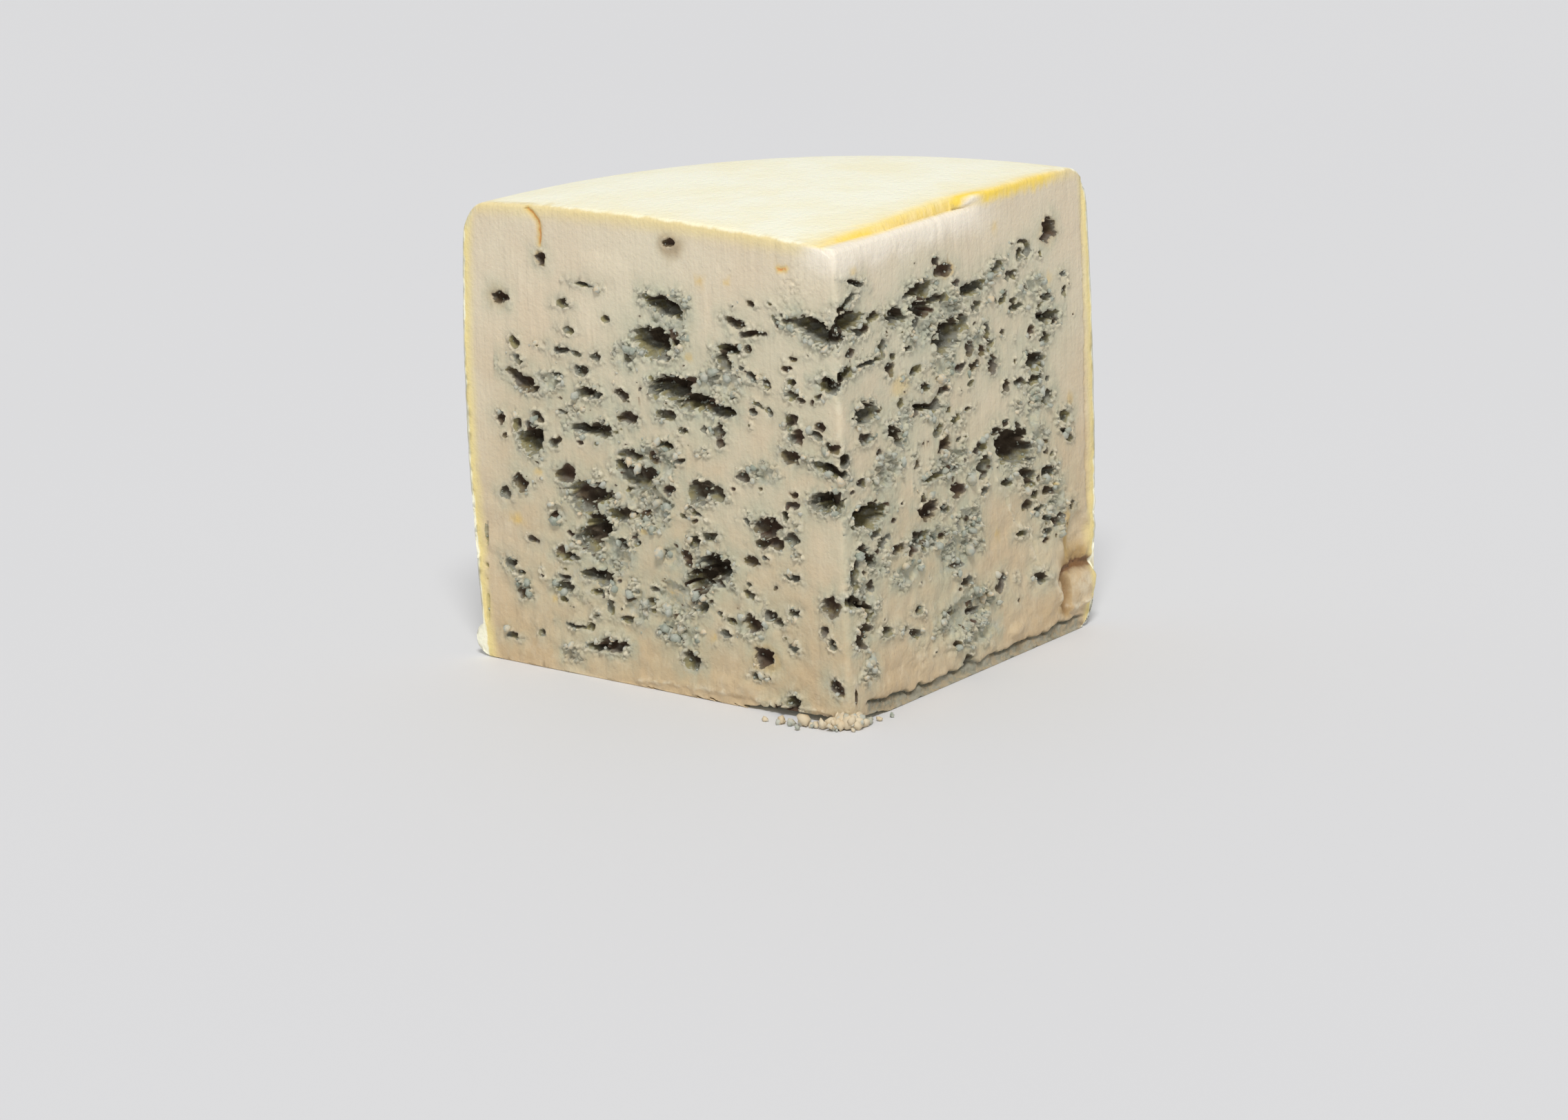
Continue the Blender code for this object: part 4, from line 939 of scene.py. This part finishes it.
def opening_walls(n, look, powder):
    """Walls of the openings: grey and olive with mould near the rim, and the hollow colour where
    the painted shade mark is strong, a painted shade for the shade deep inside the openings.
    """
    wall = n.mix(n.patches(260.0, 0.4, 0.62), linear(look.slate), linear(look.moss))
    wall = n.mix(n.patches(900.0, 0.5, 0.66, most=0.5), wall, powder.outputs["Color"])
    # Painted shade: the hollow colour stands in for the shade deep in the openings, broken by noise
    deep = n.plus(n.mark("painted_shade"), n.math("MULTIPLY_ADD", n.noise(330.0, 4.0, 0.65), 2.4, -1.2))
    wall = n.mix(n.ramp(deep, 0.6, 4.2), wall, linear(look.hollow))
    return n.tint(wall, n.mark("brown"), 0.9, look.hollow_brown)


def cheese_material(look, mould):
    """Ivory paste with its veins and stains, and cream rind, told apart by place on the wheel."""
    material, n, shader = new_material("blue_cheese_paste_and_rind", 0.5)
    in_rim, under_top, height, skin = under_rind(n)
    wander = n.math("MULTIPLY_ADD", n.noise(260.0), 1.4, -0.7)
    fine = n.noise(420.0, 4.0, 0.6)
    paste = plain_paste(n, look, height, fine)
    powder = n.add("ShaderNodeGroup", {"Where": n.where}, node_tree=mould)
    mouldy = n.times(n.mark("mould"), n.patches(480.0, 0.4, 0.56, 4.0, 0.7), clamp=True)
    paste = n.mix(n.times(mouldy, 0.8), paste, powder.outputs["Color"])
    dusty = n.times(n.mark("crumb"), n.patches(600.0, 0.38, 0.6), clamp=True)
    paste = n.tint(paste, dusty, 0.4, look.dust)
    # proud pales torn scraps and flakes, which are paler paste, and the raised rims of the openings and the
    # tip's edge, where the paleness is a painted highlight
    torn = n.times(n.mark("proud"), n.patches(500.0, 0.4, 0.6), clamp=True)
    paste = n.tint(paste, torn, 0.7, look.paste_pale)
    # Painted shade: darkens the gaps between crumbs, the foot crack and the set-back foot strip
    paste = n.tint(paste, n.mark("crevice_shade"), 0.55, look.crevice_shade)
    frayed = n.math("MULTIPLY_ADD", n.noise(800.0, 3.0, 0.6), 0.4, -0.2)
    inner = n.ramp(n.plus(n.mark("inner"), frayed), 1.96, 2.06)
    paste = n.mix(inner, paste, opening_walls(n, look, powder))

    paste = n.tint(paste, n.mark("white"), 0.8, look.shoulder)
    upper = n.ramp(n.plus(under_top, wander), 0.5, 4.0, 0.42, 0.0)
    outer = n.ramp(n.plus(in_rim, wander), 0.5, 3.8, 0.85, 0.0)
    band = n.times(n.math("MAXIMUM", upper, outer), n.math("SUBTRACT", 1.0, n.mark("white")), clamp=True)
    clear = n.math("SUBTRACT", 1.0, n.math("MAXIMUM", n.mark("brown"), n.mark("yellow")), clamp=True)
    paste = n.tint(paste, band, clear, look.band)
    cream = n.mix(n.patches(70.0, 0.35, 0.7, 4.0), linear(look.rind), linear(look.rind_warm))
    spots = n.patches(240.0, 0.56, 0.7, 5.0, 0.7, most=0.5)
    cream = n.tint(cream, spots, n.ramp(under_top, 6.0, 14.0), look.rind_spot)
    rind = n.math("MAXIMUM", n.ramp(n.plus(skin, wander), 0.75, 0.15), n.mark("rind"))
    color = n.mix(rind, paste, cream)
    color = n.tint(color, n.mark("gold"), n.patches(160.0, 0.2, 0.7, least=0.75, most=1.1), look.gold)
    n.tree.links.new(color, shader.inputs["Base Color"])
    shader.inputs["Subsurface Weight"].default_value = look.glow
    shader.inputs["Subsurface Radius"].default_value = (1.0, 0.75, 0.45)
    shader.inputs["Subsurface Scale"].default_value = 0.0012
    rough = n.math("MULTIPLY_ADD", n.math("MAXIMUM", mouldy, inner), 0.35, 0.46)
    n.tree.links.new(n.math("MULTIPLY_ADD", fine, 0.12, rough), shader.inputs["Roughness"])
    grain = n.plus(n.noise(1300.0), n.times(n.noise(380.0, 4.0, 0.6), 1.6))
    drag = n.vector("MULTIPLY", n.where, (900.0, 900.0, 60.0))[0]
    grain = n.plus(grain, n.times(n.noise(1.0, 2.0, where=drag), 1.2))
    grain = n.plus(grain, n.times(mouldy, powder.outputs["Height"]))
    bump = n.add("ShaderNodeBump", {"Strength": 0.7, "Distance": 0.00022, "Height": grain})
    n.tree.links.new(bump.outputs[0], shader.inputs["Normal"])
    return material


def crumb_material(look, mould):
    """Crumbs of paste and mould, told apart by their tone."""
    material, n, shader = new_material("crumbs_and_mould", 0.75)
    powder = n.add("ShaderNodeGroup", {"Where": n.where}, node_tree=mould)
    pale = n.mix(n.noise(300.0), linear(look.paste_low), linear(look.paste_pale))
    dusty = n.mix(n.patches(800.0, 0.4, 0.6), pale, linear(look.dust))
    dusty = n.mix(n.ramp(n.mark("tone"), 0.05, 0.3), pale, dusty)
    color = n.mix(n.ramp(n.mark("tone"), 0.35, 0.6), dusty, powder.outputs["Color"])
    n.tree.links.new(color, shader.inputs["Base Color"])
    bump = n.add("ShaderNodeBump", {"Strength": 0.5, "Distance": 0.00015, "Height": powder.outputs["Height"]})
    n.tree.links.new(bump.outputs[0], shader.inputs["Normal"])
    return material


def lumps(places, radii, ways, rng, lift=0.35):
    """Uneven little lumps: an icosahedron for each place, its corners moved by seeded noise.

    Each is moved along its way by the lift times its radius.
    """
    g = (1 + 5**0.5) / 2
    corners = np.array([(-1, g, 0), (1, g, 0), (-1, -g, 0), (1, -g, 0), (0, -1, g), (0, 1, g),
                        (0, -1, -g), (0, 1, -g), (g, 0, -1), (g, 0, 1), (-g, 0, -1), (-g, 0, 1)])
    corners = corners / np.linalg.norm(corners[0])
    faces = np.array([(0, 11, 5), (0, 5, 1), (0, 1, 7), (0, 7, 10), (0, 10, 11), (1, 5, 9), (5, 11, 4),
                      (11, 10, 2), (10, 7, 6), (7, 1, 8), (3, 9, 4), (3, 4, 2), (3, 2, 6), (3, 6, 8),
                      (3, 8, 9), (4, 9, 5), (2, 4, 11), (6, 2, 10), (8, 6, 7), (9, 8, 1)])
    count = len(places)
    uneven = rng.uniform(0.6, 1.3, (count, LUMP_CORNERS, 1))
    stretch = rng.uniform(0.6, 1.2, (count, 1, 3))
    points = corners * uneven * stretch
    turn = np.linalg.qr(rng.normal(size=(count, 3, 3)))[0]
    turn = turn * np.sign(np.linalg.det(turn))[:, None, None]
    points = np.einsum("nij,nkj->nki", turn, points)
    points = places[:, None] + radii[:, None, None] * points + ways[:, None] * radii[:, None, None] * lift
    index = faces + LUMP_CORNERS * np.arange(count)[:, None, None]
    return points.reshape(-1, 3), index.reshape(-1, 3)


def surface_samples(obj, count, weigh, rng):
    """Seeded points on a mesh: triangles by area times weight, then a place in each."""
    mesh = obj.data
    mesh.calc_loop_triangles()
    co = np.empty(len(mesh.vertices) * 3, np.float32)
    mesh.vertices.foreach_get("co", co)
    co = co.reshape(-1, 3).astype(float)
    tris = np.empty(len(mesh.loop_triangles) * 3, np.int32)
    mesh.loop_triangles.foreach_get("vertices", tris)
    tris = tris.reshape(-1, 3)
    marks = {}
    for layer in mesh.attributes:
        if layer.data_type == "FLOAT" and layer.domain == "POINT":
            values = np.empty(len(mesh.vertices), np.float32)
            layer.data.foreach_get("value", values)
            marks[layer.name] = values[tris].mean(1)
    a, b, c = co[tris[:, 0]], co[tris[:, 1]], co[tris[:, 2]]
    cross = np.cross(b - a, c - a)
    area = np.linalg.norm(cross, axis=1)
    weight = area * weigh(marks)
    chosen = rng.choice(len(tris), count, p=weight / weight.sum())
    u, v = rng.random(count), rng.random(count)
    flip = u + v > 1
    u, v = np.where(flip, 1 - u, u), np.where(flip, 1 - v, v)
    points = a[chosen] + u[:, None] * (b - a)[chosen] + v[:, None] * (c - a)[chosen]
    ways = cross[chosen] / area[chosen][:, None]
    return points, ways, {name: values[chosen] for name, values in marks.items()}


def crumb_object(name, points, faces, tone, material, least_height=GROUND_GAP):
    """Lumps as one piece, with a tone for each, and no point under the least height."""
    points[:, 2] = np.maximum(points[:, 2], least_height)
    obj = mesh_object(name, points, [faces], {"tone": np.repeat(tone, LUMP_CORNERS)})
    obj.data.materials.append(material)
    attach(obj, "root")


# Settings

def colour(name, description, red, green, blue):
    """A colour setting; the default is a screen colour from 0 to 255."""
    return FloatVectorProperty(name=name, description=description, subtype="COLOR_GAMMA", min=0.0, max=1.0,
                               default=(red / 255, green / 255, blue / 255))


class CheeseLook(bpy.types.PropertyGroup):
    paste_high: colour("Upper paste", "Paste near the top", 224, 208, 180)
    paste_low: colour("Lower paste", "Paste near the foot", 200, 175, 136)
    paste_pale: colour("Pale paste", "Paler patches of the paste", 228, 217, 190)
    halo: colour("Halo", "Greenish paste round the veins", 182, 186, 160)
    # Painted shade: hollow is the colour that stands in for the shade deep inside the openings
    hollow: colour("Hollow", "Deepest part of the openings", 74, 62, 46)
    hollow_brown: colour("Brown hollow", "Inside of the brown openings", 84, 62, 46)
    slate: colour("Slate", "Grey walls of the openings", 138, 136, 122)
    moss: colour("Moss", "Olive walls of the openings", 150, 141, 100)
    dust: colour("Dust", "Pale dust of mould on the crumbs", 188, 188, 174)
    # Painted shade: the colour standing in for the shade in the gaps between crumbs and at the foot
    crevice_shade: colour("Crease", "Gaps between the crumbs", 104, 104, 90)
    rust: colour("Orange stain", "Heart of the strongest stains", 222, 140, 40)
    stain: colour("Yellow stain", "Yellow and orange stains", 230, 190, 84)
    brown: colour("Brown stain", "Brown stains and openings", 128, 92, 56)
    band: colour("Band", "Paste just under the rind", 246, 226, 150)
    shoulder: colour("Shoulder", "Clean white paste under the top rind of the right cut", 254, 244, 226)
    gold: colour("Gold", "Yellow edge of the top rind", 255, 220, 92)
    rind: colour("Rind", "Cream of the rind", 255, 253, 230)
    rind_warm: colour("Warm rind", "Warmer patches of the rind", 254, 248, 216)
    rind_spot: colour("Rind spots", "Tan spots on the side of the rind", 232, 214, 170)
    glow: FloatProperty(name="Glow", description="Share of light that passes through the paste",
                        min=0.0, max=1.0, default=0.06, subtype="FACTOR")
    step: FloatProperty(name="Step", description="Spacing of the surface points on the cuts, in millimetres",
                        min=0.15, max=2.0, default=0.25)
    most_triangles: IntProperty(name="Most triangles", description="Triangles kept in the wedge",
                                min=10000, max=199000, default=192000)
    grains: IntProperty(name="Grains", description="Grains of mould in and round the openings",
                        min=0, max=9000, default=900)
    crumbs: IntProperty(name="Crumbs", description="Crumbs of paste on the crumbly places and rims",
                        min=0, max=9500, default=1000)


class StageLook(bpy.types.PropertyGroup):
    floor: colour("Floor", "Floor and surroundings", 227, 227, 228)
    sky: FloatProperty(name="Sky", description="Strength of the light from all round", min=0.0, default=0.6)
    key: FloatProperty(name="Key", description="Strength of the soft sun", default=2.1, min=0.0)
    lens: FloatProperty(name="Lens", description="Focal length in millimetres on a 36 mm sensor",
                        default=134.6, min=10.0)


# Camera, from the sharp tip: distance along its heading, offset to the left, height and angles
CAMERA_AWAY, CAMERA_LEFT, CAMERA_HEIGHT = 1.1339, 0.01206, 0.3293
CAMERA_HEADING, CAMERA_PITCH, CAMERA_ROLL = (math.radians(v) for v in (6.722, 14.519, 2.073))
# The soft sun: the way to it and its width in degrees; and half the width of the floor in metres
KEY_FROM, KEY_SPREAD = (-0.06, -0.62, 0.78), 14.0
FLOOR_REACH = 8.0

# Crumbs that lie at the foot of the tip: place from the tip and radius in millimetres, and tone
FOOT_CRUMBS = (
    (-9.0, 4.6, 1.5, 0.05), (-11.2, 5.6, 0.8, 0.4), (-13.0, 7.2, 0.9, 0.1), (-5.2, 0.9, 1.0, 0.1),
    (-3.4, -0.3, 1.0, 0.35), (-2.0, -0.6, 1.2, 0.0), (-0.6, -0.9, 1.4, 0.1), (0.8, -1.2, 1.3, 0.0),
    (2.0, -0.4, 1.2, 0.3), (3.2, 0.6, 0.9, 0.1), (1.4, 0.9, 1.5, 0.0), (-1.4, 1.0, 1.6, 0.05),
    (-3.6, 1.8, 1.3, 0.1), (4.4, 2.4, 0.8, 0.5), (-6.8, 2.6, 0.9, 0.2), (6.4, 4.2, 0.6, 0.3),
    (0.3, -2.4, 0.5, 0.2), (9.4, 6.6, 0.5, 0.6), (-16.0, 9.8, 0.6, 0.1), (-2.9, -1.6, 0.4, 0.6),
)


def add_cheese_body(look, mould):
    """The wedge itself, one closed body."""
    step = look.step
    points, quads, fans, marks = cheese_surface(step)
    obj = mesh_object("cheese_body", to_metres(points), [quads, fans], marks)
    thin_out(obj, look.most_triangles)
    obj.data.materials.append(cheese_material(look, mould))
    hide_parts("blue_cheese")
    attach(obj, "root")


def add_mould_grains(look, material):
    """Grains of mould and paste on the crumbly places and in the openings."""
    rng = np.random.default_rng(7)
    body = bpy.data.objects["cheese_body"]

    def weigh(marks):
        return 0.03 * marks["mould"] * (marks["inner"] < 2.0) + 0.5 * (marks["inner"] > 2.1)

    points, ways, _ = surface_samples(body, look.grains, weigh, rng)
    radii = rng.uniform(0.12, 0.42, len(points)) * MM
    tone = np.clip(0.45 + 0.4 * rng.random(len(points)), 0, 1)
    places, faces = lumps(points, radii, ways, rng)
    crumb_object("mould_grains", places, faces, tone, material)


def add_paste_crumbs(look, material):
    """Crumbs of paste dusted with mould, on the crumbly places and the torn rims."""
    rng = np.random.default_rng(8)
    body = bpy.data.objects["cheese_body"]

    def weigh(marks):
        return marks["crumb"] ** 1.5 + 0.3 * marks["proud"] * marks["halo"] * (marks["inner"] < 1.9)

    points, ways, marks = surface_samples(body, look.crumbs, weigh, rng)
    radii = (0.45 + 1.0 * rng.random(len(points)) ** 2) * MM * (0.6 + 0.45 * marks["crumb"])
    tone = np.clip(0.2 + 0.42 * rng.random(len(points)) + 0.2 * marks["mould"], 0, 1)
    places, faces = lumps(points, radii, ways, rng, -0.35)
    crumb_object("paste_crumbs", places, faces, tone, material)


def add_foot_crumbs(look, material):
    """Crumbs at the foot of the tip: each row again in finer ones, heaped against the tip."""
    rng = np.random.default_rng(12)
    rows = np.array(FOOT_CRUMBS)
    parts = []
    for spread in (0.0, 0.5, 0.7, 0.9):
        middle = rows[:, :2] + spread * rows[:, 2:3] * rng.normal(0, 1, (len(rows), 2))
        radius = 1.2 * rows[:, 2] * (1 - spread * 0.55)
        heap = 2.2 * spread * np.exp(-((rows[:, 0] / 4.0) ** 2))
        middle[:, 1] += 0.5 * heap
        tone = rows[:, 3] + 0.7 * spread * rng.random(len(rows)) ** 2
        parts.append(np.column_stack([middle, radius * 0.7 + heap, radius, tone]))
    rows = np.concatenate(parts)
    ways = np.zeros((len(rows), 3))
    points, faces = lumps(to_metres(rows[:, :3]), rows[:, 3] * MM, ways, rng)
    crumb_object("foot_crumbs", points, faces, rows[:, 4], material, FOOT_GAP)


def add_sun(name, towards, strength, spread):
    """A sun light that shines from a direction; its spread makes the shadows soft."""
    light = bpy.data.lights.new(name, "SUN")
    light.energy = strength
    light.angle = math.radians(spread)
    obj = bpy.data.objects.new(name, light)
    bpy.context.scene.collection.objects.link(obj)
    obj.location = towards
    obj.rotation_euler = Vector(towards).to_track_quat("Z", "Y").to_euler()


def add_camera(stage):
    """The camera at the photograph's angle, from its distance, height, heading, pitch and roll."""
    heading, pitch, roll = CAMERA_HEADING, CAMERA_PITCH, CAMERA_ROLL
    right = np.array([math.cos(heading), -math.sin(heading), 0.0])
    ahead = np.array([math.sin(heading), math.cos(heading), 0.0])
    up = np.array([0.0, 0.0, 1.0])
    place = to_metres(np.zeros(3)) - CAMERA_AWAY * ahead - CAMERA_LEFT * right + CAMERA_HEIGHT * up
    look_at = math.cos(pitch) * ahead - math.sin(pitch) * up
    upright = math.sin(pitch) * ahead + math.cos(pitch) * up
    x = math.cos(roll) * right - math.sin(roll) * upright
    y = math.sin(roll) * right + math.cos(roll) * upright
    camera = bpy.data.cameras.new("camera")
    camera.sensor_fit = "HORIZONTAL"
    camera.sensor_width = 36.0
    camera.lens = stage.lens
    camera.clip_end = 50.0
    obj = bpy.data.objects.new("camera", camera)
    bpy.context.scene.collection.objects.link(obj)
    rows = np.column_stack([x, y, -look_at, place]).tolist()
    obj.matrix_world = Matrix([*rows, [0, 0, 0, 1]])
    bpy.context.scene.camera = obj


def add_stage(stage):
    """A pale floor, soft light and the camera."""
    material, n, shader = new_material("stage_floor", 0.6)
    shade = n.mix(n.noise(2.0), linear(stage.floor), linear([0.985 * c for c in stage.floor]))
    n.tree.links.new(shade, shader.inputs["Base Color"])
    corners = FLOOR_REACH * np.array([(-1, -1, 0), (1, -1, 0), (1, 1, 0), (-1, 1, 0)])
    floor = mesh_object("floor", corners, [np.array([[0, 1, 2, 3]])])
    floor.data.materials.append(material)
    world = bpy.data.worlds.new("surroundings")
    world.use_nodes = True
    background = world.node_tree.nodes["Background"]
    background.inputs["Color"].default_value = linear(stage.floor)
    background.inputs["Strength"].default_value = stage.sky
    bpy.context.scene.world = world
    bpy.context.scene.view_settings.view_transform = "Standard"
    add_sun("key", KEY_FROM, stage.key, KEY_SPREAD)
    add_camera(stage)


# Operators and panel

def shared_materials(context):
    """The mould group and the crumb material, made once."""
    mould = bpy.data.node_groups.get("mould") or mould_group()
    crumbs = bpy.data.materials.get("crumbs_and_mould") or crumb_material(context.scene.cheese_look, mould)
    return mould, crumbs


class CHEESE_OT_body(bpy.types.Operator):
    """Build the wedge with its rind, paste and openings"""

    bl_idname = "cheese.body"
    bl_label = "Wedge"

    def execute(self, context):
        add_cheese_body(context.scene.cheese_look, shared_materials(context)[0])
        return {"FINISHED"}


class CHEESE_OT_grains(bpy.types.Operator):
    """Scatter grains of mould and paste over the cuts"""

    bl_idname = "cheese.grains"
    bl_label = "Mould grains"

    def execute(self, context):
        add_mould_grains(context.scene.cheese_look, shared_materials(context)[1])
        return {"FINISHED"}


class CHEESE_OT_crumbs(bpy.types.Operator):
    """Scatter crumbs of paste over the crumbly places and the torn rims"""

    bl_idname = "cheese.crumbs"
    bl_label = "Paste crumbs"

    def execute(self, context):
        add_paste_crumbs(context.scene.cheese_look, shared_materials(context)[1])
        return {"FINISHED"}


class CHEESE_OT_foot_crumbs(bpy.types.Operator):
    """Lay crumbs at the foot of the tip"""

    bl_idname = "cheese.foot_crumbs"
    bl_label = "Foot crumbs"

    def execute(self, context):
        add_foot_crumbs(context.scene.cheese_look, shared_materials(context)[1])
        return {"FINISHED"}


class CHEESE_OT_stage(bpy.types.Operator):
    """Add the floor, the lights and the camera"""

    bl_idname = "cheese.stage"
    bl_label = "Stage"

    def execute(self, context):
        add_stage(context.scene.cheese_stage)
        return {"FINISHED"}


class CHEESE_PT_panel(bpy.types.Panel):
    bl_label = "Blue cheese wedge"
    bl_idname = "CHEESE_PT_panel"
    bl_space_type = "VIEW_3D"
    bl_region_type = "UI"
    bl_category = "Cheese"

    def draw(self, context):
        for operator in OPERATORS:
            self.layout.operator(operator.bl_idname)
        for settings in (context.scene.cheese_look, context.scene.cheese_stage):
            for name in settings.bl_rna.properties.keys():
                if name not in ("rna_type", "name"):
                    self.layout.prop(settings, name)


OPERATORS = (CHEESE_OT_body, CHEESE_OT_grains, CHEESE_OT_crumbs, CHEESE_OT_foot_crumbs, CHEESE_OT_stage)
CLASSES = (CheeseLook, StageLook, *OPERATORS, CHEESE_PT_panel)


def register():
    for cls in CLASSES:
        bpy.utils.register_class(cls)
    bpy.types.Scene.cheese_look = PointerProperty(type=CheeseLook)
    bpy.types.Scene.cheese_stage = PointerProperty(type=StageLook)


def unregister():
    del bpy.types.Scene.cheese_stage
    del bpy.types.Scene.cheese_look
    for cls in reversed(CLASSES):
        bpy.utils.unregister_class(cls)


def main():
    register()
    for operator in OPERATORS:
        group, name = operator.bl_idname.split(".")
        getattr(getattr(bpy.ops, group), name)()


if __name__ == "__main__":
    main()
